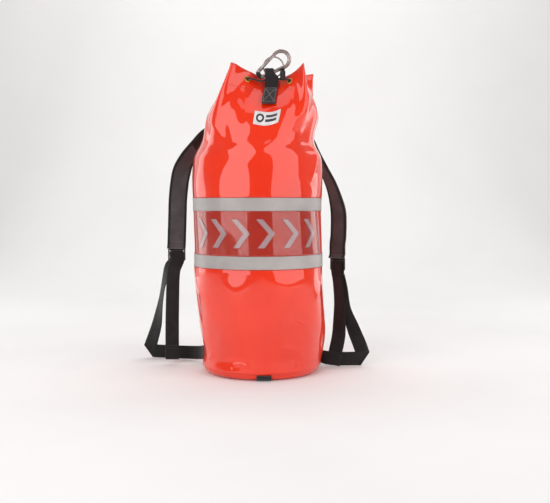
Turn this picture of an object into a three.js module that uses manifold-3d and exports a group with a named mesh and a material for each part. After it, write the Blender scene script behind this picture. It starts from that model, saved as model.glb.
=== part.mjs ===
// Throw rope bag: a tall bag of coated fabric with a gathered mouth, a snap hook on a webbing tab,
// reflective bands round a marked insert, and two shoulder straps.
// Millimetres. +X is the bag's right as seen from the front, -Y the front, +Z up.
// The origin is the centre of the base's flat underside.

import * as THREE from 'three';
import { mergeVertices } from 'three/addons/utils/BufferGeometryUtils.js';
import Module from 'manifold-3d';

const wasm = await Module();
wasm.setup();

// Driving dimensions

const COLUMNS = 48; // facets round the bag
const WALL = 1.6; // coated fabric, modelled as one thick skin
const SEAM_Z = 14; // where the wall meets the base panel
const RIM_LEVEL = 637; // level of the rim ring, whose own points give its true heights
const TAPE = 25; // reflective tape width
const LOWER_BAND_Z = 223.5;
const UPPER_BAND_Z = 338.5;
const INSERT_SPREAD = 0.19; // share of the girth that the insert covers, each way from the front
const EYELET_LEVEL = 616;
const CORD = 4; // drawcord diameter
const PAD_WIDTH = 40;
const WEBBING = 30;
const WEBBING_THICK = 1.6;
const SKIN_GAP = 0.4; // between layers that are sewn together

// The bag's surface. The lower body is round: level, radius across, radius front to back, centre x.
const ROUND_RINGS = [
  [SEAM_Z, 126, 126, -2],
  [45, 125, 125, 0],
  [100, 132, 132, -2],
  [135, 134, 134, -4],
  [185, 135.5, 135.5, -6],
  [255, 135.5, 135.5, -7.5],
  [351, 135.4, 135.4, -12.4],
  [445, 134, 134, -10.5],
  [483, 117.5, 123, -8.5],
];
// The gathered part: 16 points round the bag from the front centre towards +X, with their heights.
const SHOULDER_LEVEL = 540;
const SHOULDER_RING = [
  [5, -100], [50, -106], [88, -92], [108, -45], [112, 0], [112, 45], [100, 85], [50, 108],
  [0, 110], [-48, 106], [-92, 88], [-112, 45], [-114, 0], [-112, -45], [-92, -90], [-46, -104],
];
const RIM_RING = [
  [13.5, -44, 607], [57, -60, 613], [83, -89.5, 631], [77, -42, 623],
  [62, 2, 617], [76, 44, 624], [106, 72, 635], [58, 64, 623],
  [14, 48, 617], [-30, 65, 623], [-74, 82, 637], [-54, 42, 623],
  [-40, 0, 617], [-52, -42, 623], [-58, -92, 631], [-25, -60, 618],
];

function catmull(a, b, c, d, t) {
  const t2 = t * t;
  const t3 = t2 * t;
  return 0.5 * (2 * b + (c - a) * t + (2 * a - 5 * b + 4 * c - d) * t2 + (3 * b - a - 3 * c + d) * t3);
}

function gatheredRing(level, points) {
  return {
    level,
    at(u) {
      const n = points.length;
      const s = ((u % 1) + 1) % 1 * n;
      const i = Math.floor(s);
      const [a, b, c, d] = [i - 1, i, i + 1, i + 2].map((k) => points[(k + n) % n]);
      const mix = (k, fixed) => (a[k] === undefined ? fixed : catmull(a[k], b[k], c[k], d[k], s - i));
      return [mix(0), mix(1), mix(2, level)];
    },
  };
}

function roundRing([level, rx, ry, cx]) {
  return {
    level,
    at(u) {
      const angle = u * 2 * Math.PI;
      return [cx + rx * Math.sin(angle), -ry * Math.cos(angle), level];
    },
  };
}

const RINGS = [
  ...ROUND_RINGS.map(roundRing),
  gatheredRing(SHOULDER_LEVEL, SHOULDER_RING),
  gatheredRing(RIM_LEVEL, RIM_RING),
];

// A point of the bag's outer surface, at a share u of the girth and a level.
function surface(u, level) {
  let k = RINGS.findIndex((ring) => ring.level >= level);
  k = Math.min(Math.max(k, 1), RINGS.length - 1);
  const near = [k - 2, k - 1, k, k + 1].map((i) => RINGS[Math.min(Math.max(i, 0), RINGS.length - 1)]);
  const [p0, p1, p2, p3] = near.map((ring) => ring.at(u));
  const span = near[2].level - near[1].level;
  const t = (level - near[1].level) / span;
  const slope = (a, b, ringA, ringB) => ((b - a) / (ringB.level - ringA.level || 1)) * span;
  return new THREE.Vector3(...[0, 1, 2].map((i) => {
    const m1 = slope(p0[i], p2[i], near[0], near[2]);
    const m2 = slope(p1[i], p3[i], near[1], near[3]);
    const t2 = t * t;
    const t3 = t2 * t;
    return (2 * t3 - 3 * t2 + 1) * p1[i] + (t3 - 2 * t2 + t) * m1
      + (3 * t2 - 2 * t3) * p2[i] + (t3 - t2) * m2;
  }));
}

// The surface's outward normal.
function normal(u, level) {
  const low = Math.max(level - 2, SEAM_Z);
  const high = Math.min(level + 2, RIM_LEVEL);
  const along = surface(u + 0.012, level).sub(surface(u - 0.012, level));
  const up = surface(u, high).sub(surface(u, low));
  return along.cross(up).normalize();
}

function skin(u, level, offset) {
  return surface(u, level).addScaledVector(normal(u, level), offset);
}

// Closed bodies from rows of points

function body(points, faces) {
  const geometry = new THREE.BufferGeometry();
  geometry.setAttribute('position', new THREE.Float32BufferAttribute(points.flatMap((p) => p.toArray()), 3));
  geometry.setIndex(faces.flat());
  return geometry;
}

// Quads between rows of equal length that run round a closed section, with flat ends unless they meet.
// Both broad sides split their quads along the same diagonal, so layers that follow each other stay apart.
function sweptBody(rows, closed = false) {
  const n = rows[0].length;
  const faces = [];
  for (let i = 0; i < rows.length - (closed ? 0 : 1); i += 1) {
    const next = (i + 1) % rows.length;
    for (let j = 0; j < n; j += 1) {
      const k = (j + 1) % n;
      const [a, b, c, d] = [i * n + j, next * n + j, next * n + k, i * n + k];
      faces.push(...(j < n / 2 ? [[a, b, c], [a, c, d]] : [[a, b, d], [b, c, d]]));
    }
  }
  if (!closed) {
    const last = (rows.length - 1) * n;
    const half = n / 2;
    for (let j = 0; j < half - 1; j += 1) {
      const [a, b, c, d] = [j, j + 1, n - 2 - j, n - 1 - j];
      faces.push([a, b, c], [a, c, d], [last + a, last + c, last + b], [last + a, last + d, last + c]);
    }
  }
  return body(rows.flat(), faces);
}

// A layer on the bag: a column of levels at each share of the girth, between two offsets.
function layer(columns, inner, outer, closed = false) {
  const rows = columns.map((column) => [
    ...column.map(([u, level]) => skin(u, level, outer)),
    ...column.map(([u, level]) => skin(u, level, inner)).reverse(),
  ]);
  return sweptBody(rows, closed);
}

function range(from, to, steps) {
  return Array.from({ length: steps + 1 }, (_, i) => from + ((to - from) * i) / steps);
}

function allRound(levels, inner, outer) {
  const columns = range(0, 1, COLUMNS).slice(0, -1).map((u) => levels.map((level) => [u, level]));
  return layer(columns, inner, outer, true);
}

function patch(uRange, levels, inner, outer, steps) {
  return layer(range(...uRange, steps).map((u) => levels.map((level) => [u, level])), inner, outer);
}

// A smooth open curve through points whose first three numbers are x, y and z.
function smoothPath(points) {
  return new THREE.CatmullRomCurve3(points.map(([x, y, z]) => new THREE.Vector3(x, y, z)), false, 'centripetal');
}

// A flat strip along a smooth route. Each point is [x, y, z, face], its face being the strip's outward side.
function strip(route, width, thickness, steps, offset = 0) {
  const path = smoothPath(route);
  const faces = route.map((point) => new THREE.Vector3(...point[3]).normalize());
  const rows = range(0, 1, steps).map((t) => {
    const s = t * (route.length - 1);
    const k = Math.min(Math.floor(s), route.length - 2);
    const tangent = path.getTangent(t);
    const face = faces[k].clone().lerp(faces[k + 1], s - k);
    face.addScaledVector(tangent, -face.dot(tangent)).normalize();
    const across = face.clone().cross(tangent);
    const at = (side, out) => path.getPoint(t)
      .addScaledVector(across, (side * width) / 2)
      .addScaledVector(face, offset + (out * thickness) / 2);
    return [at(1, 1), at(1, -1), at(-1, -1), at(-1, 1)];
  });
  return sweptBody(rows);
}

function section(radius, sides) {
  return new THREE.Shape(range(0, 2 * Math.PI, sides).slice(0, -1)
    .map((a) => new THREE.Vector2(radius * Math.cos(a), radius * Math.sin(a))));
}

function tube(points, radius, sides, steps) {
  return new THREE.ExtrudeGeometry(section(radius, sides), { steps, extrudePath: smoothPath(points) });
}

function lathe(profile, sides) {
  return new THREE.LatheGeometry(profile.map(([r, z]) => new THREE.Vector2(r, z)), sides).rotateX(Math.PI / 2);
}

function rod(radius, low, high, sides = 16) {
  return lathe([[0, low], [radius, low], [radius, high], [0, high]], sides);
}

function block(x, y, z) {
  const size = [x, y, z].map(([low, high]) => high - low);
  const middle = [x, y, z].map(([low, high]) => (low + high) / 2);
  return new THREE.BoxGeometry(...size).translate(...middle);
}

// Cuts and joins

function solid(geometry) {
  const bare = geometry.clone();
  bare.deleteAttribute('normal');
  bare.deleteAttribute('uv');
  const merged = mergeVertices(bare, 1e-4);
  return new wasm.Manifold(new wasm.Mesh({
    numProp: 3,
    vertProperties: new Float32Array(merged.attributes.position.array),
    triVerts: new Uint32Array(merged.index.array),
  }));
}

function geometryOf(manifold) {
  const mesh = manifold.getMesh();
  const geometry = new THREE.BufferGeometry();
  geometry.setAttribute('position', new THREE.BufferAttribute(mesh.vertProperties, 3));
  geometry.setIndex(new THREE.BufferAttribute(mesh.triVerts, 1));
  return geometry;
}

function carve(geometry, cutters) {
  return geometryOf(cutters.reduce((left, cutter) => left.subtract(solid(cutter)), solid(geometry)));
}

// Materials

const MATERIALS = {
  red_pvc: { color: 0xe84a35, roughness: 0.22 },
  insert_red: { color: 0xb23923, roughness: 0.5 },
  clear_vinyl: { color: 0xe8b0a8, roughness: 0.1, transparent: true, opacity: 0.25 },
  reflective_tape: { color: 0xbeb9b7, roughness: 0.45 },
  black_webbing: { color: 0x211e1f, roughness: 0.85 },
  strap_face: { color: 0x504746, roughness: 0.8 },
  label_white: { color: 0xe9e6e6, roughness: 0.7 },
  brass: { color: 0xb98a3c, roughness: 0.3, metalness: 1 },
  steel: { color: 0xb9b4b2, roughness: 0.2, metalness: 1 },
  black_plastic: { color: 0x1a1a1b, roughness: 0.45 },
  cord_dark: { color: 0x2b1d1a, roughness: 0.8 },
  board: { color: 0x5a5550, roughness: 0.9 },
};

function add(group, name, geometry, material) {
  const mesh = new THREE.Mesh(geometry, new THREE.MeshStandardMaterial(MATERIALS[material]));
  mesh.name = name;
  group.add(mesh);
  return mesh;
}

function placed(parent, position, turn = [0, 0, 0]) {
  const group = new THREE.Group();
  group.position.set(...position);
  group.rotation.set(...turn);
  parent.add(group);
  return group;
}

const degrees = THREE.MathUtils.degToRad;
const bag = new THREE.Group();

// Eyelets: eight round the rim, on the flanks between its peaks

const EYELET_BORE = 4.2;
const EYELET_BARREL = 5.4;
const EYELET_FLANGE = 7.2;
const EYELET_SIDES = 10;
const HEM_LEVEL = 590;
const HEM_OUTER = -WALL - 0.65;
const HEM_INNER = HEM_OUTER - 1;
const EYELETS = range(1 / 16, 15 / 16, 7).map((u) => {
  const centre = surface(u, EYELET_LEVEL);
  const axis = normal(u, EYELET_LEVEL);
  const turn = new THREE.Quaternion().setFromUnitVectors(new THREE.Vector3(0, 0, 1), axis);
  const matrix = new THREE.Matrix4().compose(centre, turn, new THREE.Vector3(1, 1, 1));
  return { centre, axis, matrix };
});

// Room for an eyelet through the two layers, and for its flanges on either side.
function eyeletRoom({ matrix }) {
  const hole = EYELET_BARREL + 0.3;
  const recess = EYELET_FLANGE + 0.4;
  const profile = [
    [0, -12], [recess, -12], [recess, HEM_INNER - 0.2], [hole, HEM_INNER - 0.2],
    [hole, 0.1], [recess, 0.1], [recess, 9], [0, 9],
  ];
  return lathe(profile, EYELET_SIDES).applyMatrix4(matrix);
}

function addEyelets() {
  const inside = HEM_INNER - 0.5;
  EYELETS.forEach(({ matrix }, i) => {
    const eyelet = [
      [EYELET_BORE, inside - 1.6], [EYELET_BARREL, inside - 1.6], [EYELET_BARREL, 0.4],
      [EYELET_FLANGE, 0.4], [EYELET_FLANGE, 0.9], [EYELET_BARREL, 1.6], [EYELET_BORE, 0.9],
      [EYELET_BORE, inside - 1.6],
    ];
    const washer = [
      [EYELET_BARREL + 0.3, inside - 0.8], [EYELET_FLANGE, inside - 0.8], [EYELET_FLANGE, inside],
      [EYELET_BARREL + 0.3, inside], [EYELET_BARREL + 0.3, inside - 0.8],
    ];
    add(bag, `eyelet_${i + 1}`, lathe(eyelet, EYELET_SIDES).applyMatrix4(matrix), 'brass');
    add(bag, `eyelet_washer_${i + 1}`, lathe(washer, EYELET_SIDES).applyMatrix4(matrix), 'brass');
  });
}

// Bag body

function addBody() {
  const levels = [
    SEAM_Z, 45, 100, 185, 255, 351, 445, 464, 483, 502, 521, 540, 557, 574, HEM_LEVEL, 603, 616, 627, RIM_LEVEL,
  ];
  const rooms = EYELETS.map(eyeletRoom);
  add(bag, 'body_wall', carve(allRound(levels, -WALL, 0), rooms), 'red_pvc');
  const hem = levels.slice(levels.indexOf(HEM_LEVEL));
  add(bag, 'mouth_hem_facing', carve(allRound(hem, HEM_INNER, HEM_OUTER), rooms), 'red_pvc');

  const seam = levels.slice(1, levels.indexOf(HEM_LEVEL));
  add(bag, 'back_seam_strip', patch([0.492, 0.508], seam, -WALL - 1.6, -WALL - SKIN_GAP, 2), 'red_pvc');
}

const BASE_TOP = 3.6;
const HANDLE_X = 4.5;
const HANDLE_WIDTH = 30;
const HANDLE_INNER_END = -34;

function addBase() {
  const cx = ROUND_RINGS[0][3];
  const profile = [
    [0, 0], [108, 0], [116, 2], [121.5, 7], [123.2, 13], [121.6, 24],
    [119.8, 24], [121.2, 14], [119.4, 8.6], [114.6, 5], [107, BASE_TOP], [0, BASE_TOP],
  ];
  const groove = block(
    [HANDLE_X - HANDLE_WIDTH / 2 - 0.5, HANDLE_X + HANDLE_WIDTH / 2 + 0.5],
    [-140, HANDLE_INNER_END + 1],
    [-5, 2.3],
  );
  add(bag, 'base_panel', carve(lathe(profile, COLUMNS).translate(cx, 0, 0), [groove]), 'red_pvc');
  add(bag, 'base_stiffener', rod(104, BASE_TOP + 0.4, BASE_TOP + 2.9, 32).translate(cx, 0, 0), 'board');
  const down = [0, 0, -1];
  const handle = [
    [HANDLE_X, HANDLE_INNER_END, 1.1, down], [HANDLE_X, -70, 1.1, down], [HANDLE_X, -100, 1.1, down],
    [HANDLE_X, -112, 1.1, down], [HANDLE_X, -118.4, 1.9, [0, -0.6, -0.8]],
    [HANDLE_X, -123.4, 6.6, [0, -0.8, -0.6]], [HANDLE_X, -125.6, 11.8, [0, -1, -0.2]],
  ];
  add(bag, 'base_handle', strip(handle, HANDLE_WIDTH, WEBBING_THICK, 24), 'black_webbing');
}

// Reflective bands, and the insert between them with its six marks under a clear cover

const INSERT_LOW = LOWER_BAND_Z + TAPE + 0.5;
const INSERT_HIGH = UPPER_BAND_Z - 0.5;
const MARK_ANGLES = [-53, -33, -13, 8, 30, 52];
const MARK_WIDTH = 36;
const MARK_STROKE = 13;
const MARK_LOW = 265.5;
const MARK_HIGH = 322;

function addBands() {
  add(bag, 'lower_reflective_band', allRound([LOWER_BAND_Z, LOWER_BAND_Z + TAPE], 0.4, 1.2), 'reflective_tape');
  add(bag, 'upper_reflective_band', allRound([UPPER_BAND_Z, UPPER_BAND_Z + TAPE], 0.4, 1.2), 'reflective_tape');
}

// A chevron pointing towards +X: its rows run up, and its point is at half height.
function chevron(angle) {
  const girth = 2 * Math.PI * 136;
  const middle = (MARK_LOW + MARK_HIGH) / 2;
  const half = (MARK_HIGH - MARK_LOW) / 2;
  const columns = range(MARK_LOW, MARK_HIGH, 6).reverse().map((level) => {
    const reach = 1 - Math.abs(level - middle) / half;
    const left = -MARK_WIDTH / 2 + reach * (MARK_WIDTH - MARK_STROKE);
    return range(0, MARK_STROKE, 2).map((x) => [angle / 360 + (left + x) / girth, level]);
  });
  return layer(columns, 1.3, 1.9);
}

function addInsert() {
  const spread = Math.round(INSERT_SPREAD * COLUMNS);
  const ends = [-spread / COLUMNS, spread / COLUMNS];
  const levels = [INSERT_LOW, INSERT_HIGH];
  add(bag, 'window_backing', patch(ends, levels, 0.4, 0.9, 2 * spread), 'insert_red');
  add(bag, 'window_cover', patch(ends, levels, 2.5, 3, 2 * spread), 'clear_vinyl');
  MARK_ANGLES.forEach((angle, i) => add(bag, `chevron_${i + 1}`, chevron(angle), 'reflective_tape'));
}

function addLabel() {
  const [low, high] = [509, 536];
  const columns = range(-0.02, 0.047, 6).map((u) => range(low, high, 3).map((level) => [u, level + 60 * u]));
  add(bag, 'maker_label', layer(columns, 0.5, 1), 'label_white');
}

// Tab: webbing sewn to the front of the rim, folded over into a tunnel for the hook, ring and cord

const TAB_CENTRE = 20;
const TAB_WIDTH = 27;
const TAB_LEAN = 6; // how far the sewn end stands to the left of the top
const TAB_THICK = 1.8;
const TUNNEL_FRONT_Y = -75;
const TUNNEL_BACK_Y = -49.5;
const TUNNEL_TOP_Z = 624;

// The bag's furthest forward line behind the tab, at each level.
function wallBehindTab(level) {
  const line = range(-0.02, 0.06, 32).map((u) => surface(u, level))
    .filter((p) => Math.abs(p.x - TAB_CENTRE + TAB_LEAN / 2) < (TAB_WIDTH + TAB_LEAN) / 2 + 1);
  return line.reduce((a, b) => (b.y < a.y ? b : a));
}

function addTab() {
  const along = (levels, shift) => levels.map((level) => {
    const p = wallBehindTab(level);
    return [p.y - shift, p.z];
  });
  const slant = 2.2; // the webbing's thickness measured level, on the bag's slope
  const arch = (drop) => [
    [TUNNEL_BACK_Y - drop, TUNNEL_TOP_Z - 4], [TUNNEL_BACK_Y - 4, TUNNEL_TOP_Z - drop],
    [TUNNEL_FRONT_Y + 5, TUNNEL_TOP_Z - drop], [TUNNEL_FRONT_Y + drop + 0.5, TUNNEL_TOP_Z - 5.5],
    [TUNNEL_FRONT_Y + drop, 602.5],
  ];
  const sewn = range(553, 605, 5);
  const outline = [
    ...along([...sewn, 612, 622, 630, RIM_LEVEL], 1.2), ...arch(0),
    ...along(sewn, 1.2 + 2 * slant).reverse().map(([y, z]) => [y, z - 1]),
  ];
  const tunnel = [
    [TUNNEL_FRONT_Y + 3.4, 593], ...along([614, 622, 630, RIM_LEVEL], 1.2 + slant), ...arch(TAB_THICK),
  ];
  const shape = new THREE.Shape(outline.map(([y, z]) => new THREE.Vector2(y, z)));
  shape.holes.push(new THREE.Path(tunnel.map(([y, z]) => new THREE.Vector2(y, z))));

  // The outline's own axes are y and z, and the extrusion runs along x. The top is gathered narrower.
  const geometry = new THREE.ExtrudeGeometry(shape, { depth: TAB_WIDTH, bevelEnabled: false });
  const at = geometry.attributes.position;
  for (let i = 0; i < at.count; i += 1) {
    const [y, z, x] = [at.getX(i), at.getY(i), at.getZ(i)];
    const gather = THREE.MathUtils.smoothstep(z, 604, 618);
    const width = THREE.MathUtils.lerp(1, 0.66, gather);
    const lean = TAB_LEAN * (1 - THREE.MathUtils.smoothstep(z, 553, 600));
    at.setXYZ(i, TAB_CENTRE - lean - 5 * gather + (x - TAB_WIDTH / 2) * width, y, z);
  }
  add(bag, 'carabiner_tab', geometry, 'black_webbing');
}

// Snap hook, drawn along its gate: +x from the pivot end to the latch, +z away from the hook's inside

const HOOK_ROD = 3.5;
const HOOK_PIVOT_END = [-5.4, -65.5, 619.5];
const HOOK_TILT = degrees(46.6);
const NARROW = { x: 0, z: -7, r: 7 };
const WIDE = { x: 46.7, z: -16.5, r: 16.5 };
const SPINE_ANGLE = degrees(-113);
const PIVOT_X = 6;
const GATE_END_X = 42.7;
const GATE_ROD = 3.2;
const WRAP_RADIUS = 4.8; // the binding round the hook's narrow end

function arc({ x, z, r }, from, to, steps) {
  return range(from, to, steps).map((a) => [x + r * Math.cos(a), 0, z + r * Math.sin(a)]);
}

function addHook() {
  const hook = placed(bag, HOOK_PIVOT_END, [0, -HOOK_TILT, 0]);
  const spine = [arc(WIDE, SPINE_ANGLE, SPINE_ANGLE, 1)[0], arc(NARROW, SPINE_ANGLE, SPINE_ANGLE, 1)[0]];
  const between = [0.25, 0.5, 0.75].map((t) => spine[0].map((v, i) => v + (spine[1][i] - v) * t));
  const route = [
    [43.1, 0, 0], ...arc(WIDE, Math.PI / 2, SPINE_ANGLE, 10), ...between,
    ...arc(NARROW, SPINE_ANGLE, -1.5 * Math.PI, 7), [3, 0, 0], [8.6, 0, 0],
  ];
  const pinHole = rod(1.3, -9, 9, 12).rotateX(Math.PI / 2).translate(PIVOT_X, 0, 0);
  const tongueSides = [-1, 1].map((side) => block([1.5, 12], side > 0 ? [1.3, 9] : [-9, -1.3], [-5, 5]));
  const latchSlot = block([41, 46.9], [-1.5, 1.5], [-6, 6]);
  const frame = carve(tube(route, HOOK_ROD, 10, 44), [pinHole, ...tongueSides, latchSlot]);
  add(hook, 'carabiner_frame', frame, 'steel');

  const bend = (from, to, radius) => tube(arc(NARROW, degrees(from), degrees(to), 8), radius, 12, 12);
  const wrap = carve(bend(-145, -232, WRAP_RADIUS), [bend(-137, -240, HOOK_ROD + 0.3)]);
  add(hook, 'hook_wrap', wrap, 'black_webbing');

  const gateRod = rod(GATE_ROD, PIVOT_X - 2.6, GATE_END_X).rotateY(Math.PI / 2);
  const blade = block([GATE_END_X - 1, GATE_END_X + 3.5], [-1.1, 1.1], [-2, 2]);
  const fork = block([0, PIVOT_X + 4.9], [-1.6, 1.6], [-6, 6]);
  const springBore = rod(1.9, PIVOT_X + 4, PIVOT_X + 17, 12).rotateY(Math.PI / 2);
  const gate = carve(geometryOf(solid(gateRod).add(solid(blade))), [fork, springBore, pinHole]);
  add(hook, 'carabiner_gate', gate, 'steel');
  add(hook, 'gate_pin', rod(1, -3, 3, 12).rotateX(Math.PI / 2).translate(PIVOT_X, 0, 0), 'steel');
  add(hook, 'gate_spring', coil(1.2, 0.3, 3, 9).rotateY(Math.PI / 2).translate(PIVOT_X + 6, 0, 0), 'steel');
}

// A compression spring up the z axis.
function coil(radius, wire, turns, length) {
  const route = range(0, turns, turns * 8).map((t) => {
    const a = t * 2 * Math.PI;
    return [radius * Math.cos(a), radius * Math.sin(a), (t / turns) * (length - 2 * wire) + wire];
  });
  return tube(route, wire, 5, turns * 9);
}

const RING_CENTRE = [23.5, -59.8, 628];
const RING_RADIUS = 20;
const RING_WIRE = 1.5;

function addRing() {
  const ring = new THREE.TorusGeometry(RING_RADIUS, RING_WIRE, 8, 28).rotateX(Math.PI / 2);
  add(bag, 'tab_ring', ring.translate(...RING_CENTRE), 'steel');
}

// Cord lock: a barrel that the drawcord runs through, with a sprung button on top

const LOCK_CENTRE = [42, -73.6, 608.5];
const LOCK_TURN = degrees(-23);
const LOCK_RADIUS = 5.5;
const CORD_HEIGHT = -6;

function addCordLock() {
  const lock = placed(bag, LOCK_CENTRE, [0, 0, LOCK_TURN]);
  const barrel = [
    [0, -9], [LOCK_RADIUS - 1, -9], [LOCK_RADIUS, -8], [LOCK_RADIUS, 8], [LOCK_RADIUS - 0.8, 9],
    [4.1, 9], [4.1, -1], [0, -1],
  ];
  const channel = rod(3, -9, 9, 10).rotateY(Math.PI / 2).translate(0, 0, CORD_HEIGHT);
  add(lock, 'cord_lock_body', carve(lathe(barrel, 16), [channel]), 'black_plastic');
  const button = [[0, 4.5], [3.7, 4.5], [3.7, 12], [4.6, 12], [4.6, 14], [3.6, 15], [0, 15]];
  add(lock, 'cord_lock_button', lathe(button, 16), 'black_plastic');
  add(lock, 'cord_lock_spring', coil(2.6, 0.35, 2, 5).translate(0, 0, -0.8), 'steel');
}

// Drawcord: sewn into the tunnel, out to the left, in and out of the eyelets all round, then back
// through the cord lock to end in the tunnel

function addDrawcord() {
  const through = (i, first, last) => {
    const { centre, axis } = EYELETS[i];
    const middle = -WALL;
    return [first, middle, last].map((d) => centre.clone().addScaledVector(axis, d).toArray());
  };
  const [out, inside] = [5, -10];
  const route = [
    [24, -65.3, 602], [10, -65.6, 601], [-3, -68.8, 598.8],
    ...through(7, out, inside), ...through(6, inside, out), [-63, 0, 606],
    ...through(5, out, inside), ...through(4, inside, out), [11, 74, 606],
    ...through(3, out, inside), ...through(2, inside, out), [78, 0, 606],
    ...through(1, out, inside), ...through(0, inside, out),
    [46, -75.4, 602.5], [39, -72.4, 602.5], [33, -70, 602.2], [25, -69.4, 602], [15, -69.4, 602],
  ];
  add(bag, 'drawcord', tube(route, CORD / 2, 8, 80), 'cord_dark');
}

// Shoulder straps

const LEFT = {
  side: 'left',
  turn: 0,
  lock: [-189, 60, 242],
  pad: [
    [-24, 125, 520, [0, 1, 0]], [-62, 122, 518, [-0.25, 0.97, 0]], [-100, 105, 511, [-0.55, 0.83, 0]],
    [-127, 83, 497, [-0.8, 0.6, 0]], [-148, 71, 474, [-0.85, 0.53, 0]], [-168, 62, 446, [-0.7, 0.7, 0]],
    [-179, 60, 415, [-0.2, 0.98, 0]], [-185, 60, 368, [0, 1, 0]], [-187, 60, 320, [0, 1, 0]],
    [-189, 60, 265, [0, 1, 0]],
  ],
  run: [
    [-124, 46, 30, [-0.94, 0.34, 0]], [-127.5, 62, 26, [-0.97, -0.2, 0]], [-140, 84, 20, [-0.75, -0.66, 0]],
    [-166, 102, 17, [-0.4, -0.92, 0]], [-205, 116, 15.9, [-0.25, -0.97, 0]],
    [-246, 126, 15.9, [-0.2, -0.98, 0]], [-259, 129, 19.9, [-0.2, -0.98, 0]],
    [-263, 130, 29, [-0.25, -0.97, 0]], [-256, 124, 48, [-0.4, -0.92, 0]], [-243, 112, 82, [-0.6, -0.8, 0]],
    [-230, 97, 135, [-0.9, -0.44, 0]], [-220, 84, 182, [-0.9, -0.44, 0]], [-206, 73, 212, [-0.5, -0.87, 0]],
  ],
  tail: [[-196, 55, 200, [0.2, 0.98, 0]], [-199, 55, 120, [0.1, 1, 0]], [-200, 56, 60, [0, 1, 0]],
    [-200, 57, 10, [0, 1, 0]]],
  face: -1,
};

const RIGHT = {
  side: 'right',
  turn: degrees(-40),
  lock: [164, 60, 221],
  pad: [
    [8, 125, 520, [0, 1, 0]], [44, 121, 516, [0.3, 0.95, 0]], [78, 106, 504, [0.6, 0.8, 0]],
    [101, 86, 485, [0.85, 0.5, 0]], [117, 73, 458, [0.95, 0.3, 0]], [136, 64, 423, [0.96, 0.28, 0]],
    [150, 60, 393, [0.9, 0.43, 0]], [160, 60, 362, [0.8, 0.6, 0]], [166, 60, 330, [0.66, 0.75, 0]],
    [166, 60, 285, [0.64, 0.77, 0]], [164, 60, 264, [0.64, 0.77, 0]], [164, 60, 244, [0.64, 0.77, 0]],
  ],
  run: [
    [113, 60, 30, [0.9, 0.44, 0]], [121.5, 45, 26, [0.97, 0.24, 0]], [131, 36, 20, [0.7, 0.7, 0]],
    [150, 32, 17, [0.15, 0.99, 0]], [178, 33, 15.9, [0, 1, 0]], [203, 35, 15.9, [0, 1, 0]],
    [216, 36, 19.9, [0, 1, 0]], [220, 37, 29, [0, 1, 0]], [214, 40, 46, [0.1, 1, 0]],
    [200, 46, 76, [0.4, 0.92, 0]], [184, 56, 120, [0.8, 0.6, 0]], [176, 63, 165, [0.75, 0.66, 0]],
    [168, 66, 195, [0.64, 0.77, 0]],
  ],
  tail: [[164, 54, 180, [-0.75, -0.66, 0]], [167, 50, 130, [-0.7, -0.7, 0]], [166, 43, 70, [-0.3, -0.95, 0]],
    [158, 35, 30, [-0.15, -0.98, 0.1]], [152, 29, 3, [-0.1, -0.98, 0.15]]],
  face: 1,
};

const LADDER_WIDTH = 38;
const LADDER_SLOT = 31.6;
const LADDER_THICK = 4;
const LEG_OFFSET = 3.5; // from the ladder lock's middle plane to the webbing's

function rectangle(shape, x, y) {
  return new shape([[x[0], y[0]], [x[1], y[0]], [x[1], y[1]], [x[0], y[1]]]
    .map(([a, b]) => new THREE.Vector2(a, b)));
}

// A plate in its own x and z, its thickness along y and centred on it.
function plate(shape, thickness) {
  return new THREE.ExtrudeGeometry(shape, { depth: thickness, bevelEnabled: false })
    .translate(0, 0, -thickness / 2).rotateX(Math.PI / 2);
}

function ladderLock() {
  const half = LADDER_SLOT / 2;
  const frame = rectangle(THREE.Shape, [-LADDER_WIDTH / 2, LADDER_WIDTH / 2], [-14, 14]);
  frame.holes.push(rectangle(THREE.Path, [-half, half], [4, 10.5]));
  frame.holes.push(rectangle(THREE.Path, [-half, half], [-9, 1]));
  return plate(frame, LADDER_THICK);
}

// The loop of webbing from the pad's end round the ladder lock's top bar, in y and z.
function buckleLoop(padEnd) {
  const reach = LADDER_THICK / 2 + 0.4;
  const t = WEBBING_THICK;
  const outline = new THREE.Shape([
    [-reach - t, 9.2], [-reach, 8.4], [reach, 8.4], [reach + t, 9.2], [reach + t, padEnd + 24],
    [reach + 0.2, padEnd + 24], [reach + 0.2, padEnd - 1.2], [0, padEnd - 1.2], [-reach - t, 18],
  ].map(([y, z]) => new THREE.Vector2(y, z)));
  outline.holes.push(rectangle(THREE.Path, [-reach, reach], [10, 15]));
  const half = WEBBING / 2;
  return new THREE.ExtrudeGeometry(outline, { depth: WEBBING, bevelEnabled: false })
    .applyMatrix4(new THREE.Matrix4().makeBasis(
      new THREE.Vector3(0, 1, 0), new THREE.Vector3(0, 0, 1), new THREE.Vector3(1, 0, 0),
    )).translate(-half, 0, 0);
}

// Webbing from the base up behind the ladder lock, over its middle bar and down in front as a tail.
function lowerWebbing({ run, tail, lock, turn, face }) {
  const up = new THREE.Vector3(0, 0, 1);
  const near = [
    [LEG_OFFSET, -16, [0, face, 0]], [LEG_OFFSET, 0, [0, face, 0]], [2.6, 5.4, [0, face, face]],
    [0, 6.5, [0, 0, face]], [-2.6, 5.4, [0, -face, face]], [-LEG_OFFSET, 0, [0, -face, 0]],
    [-LEG_OFFSET, -16, [0, -face, 0]],
  ].map(([y, z, out]) => {
    const at = new THREE.Vector3(0, y, z).applyAxisAngle(up, turn).add(new THREE.Vector3(...lock));
    return [...at.toArray(), new THREE.Vector3(...out).applyAxisAngle(up, turn).toArray()];
  });
  return strip([...run, ...near, ...tail], WEBBING, WEBBING_THICK, 69);
}

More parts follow.
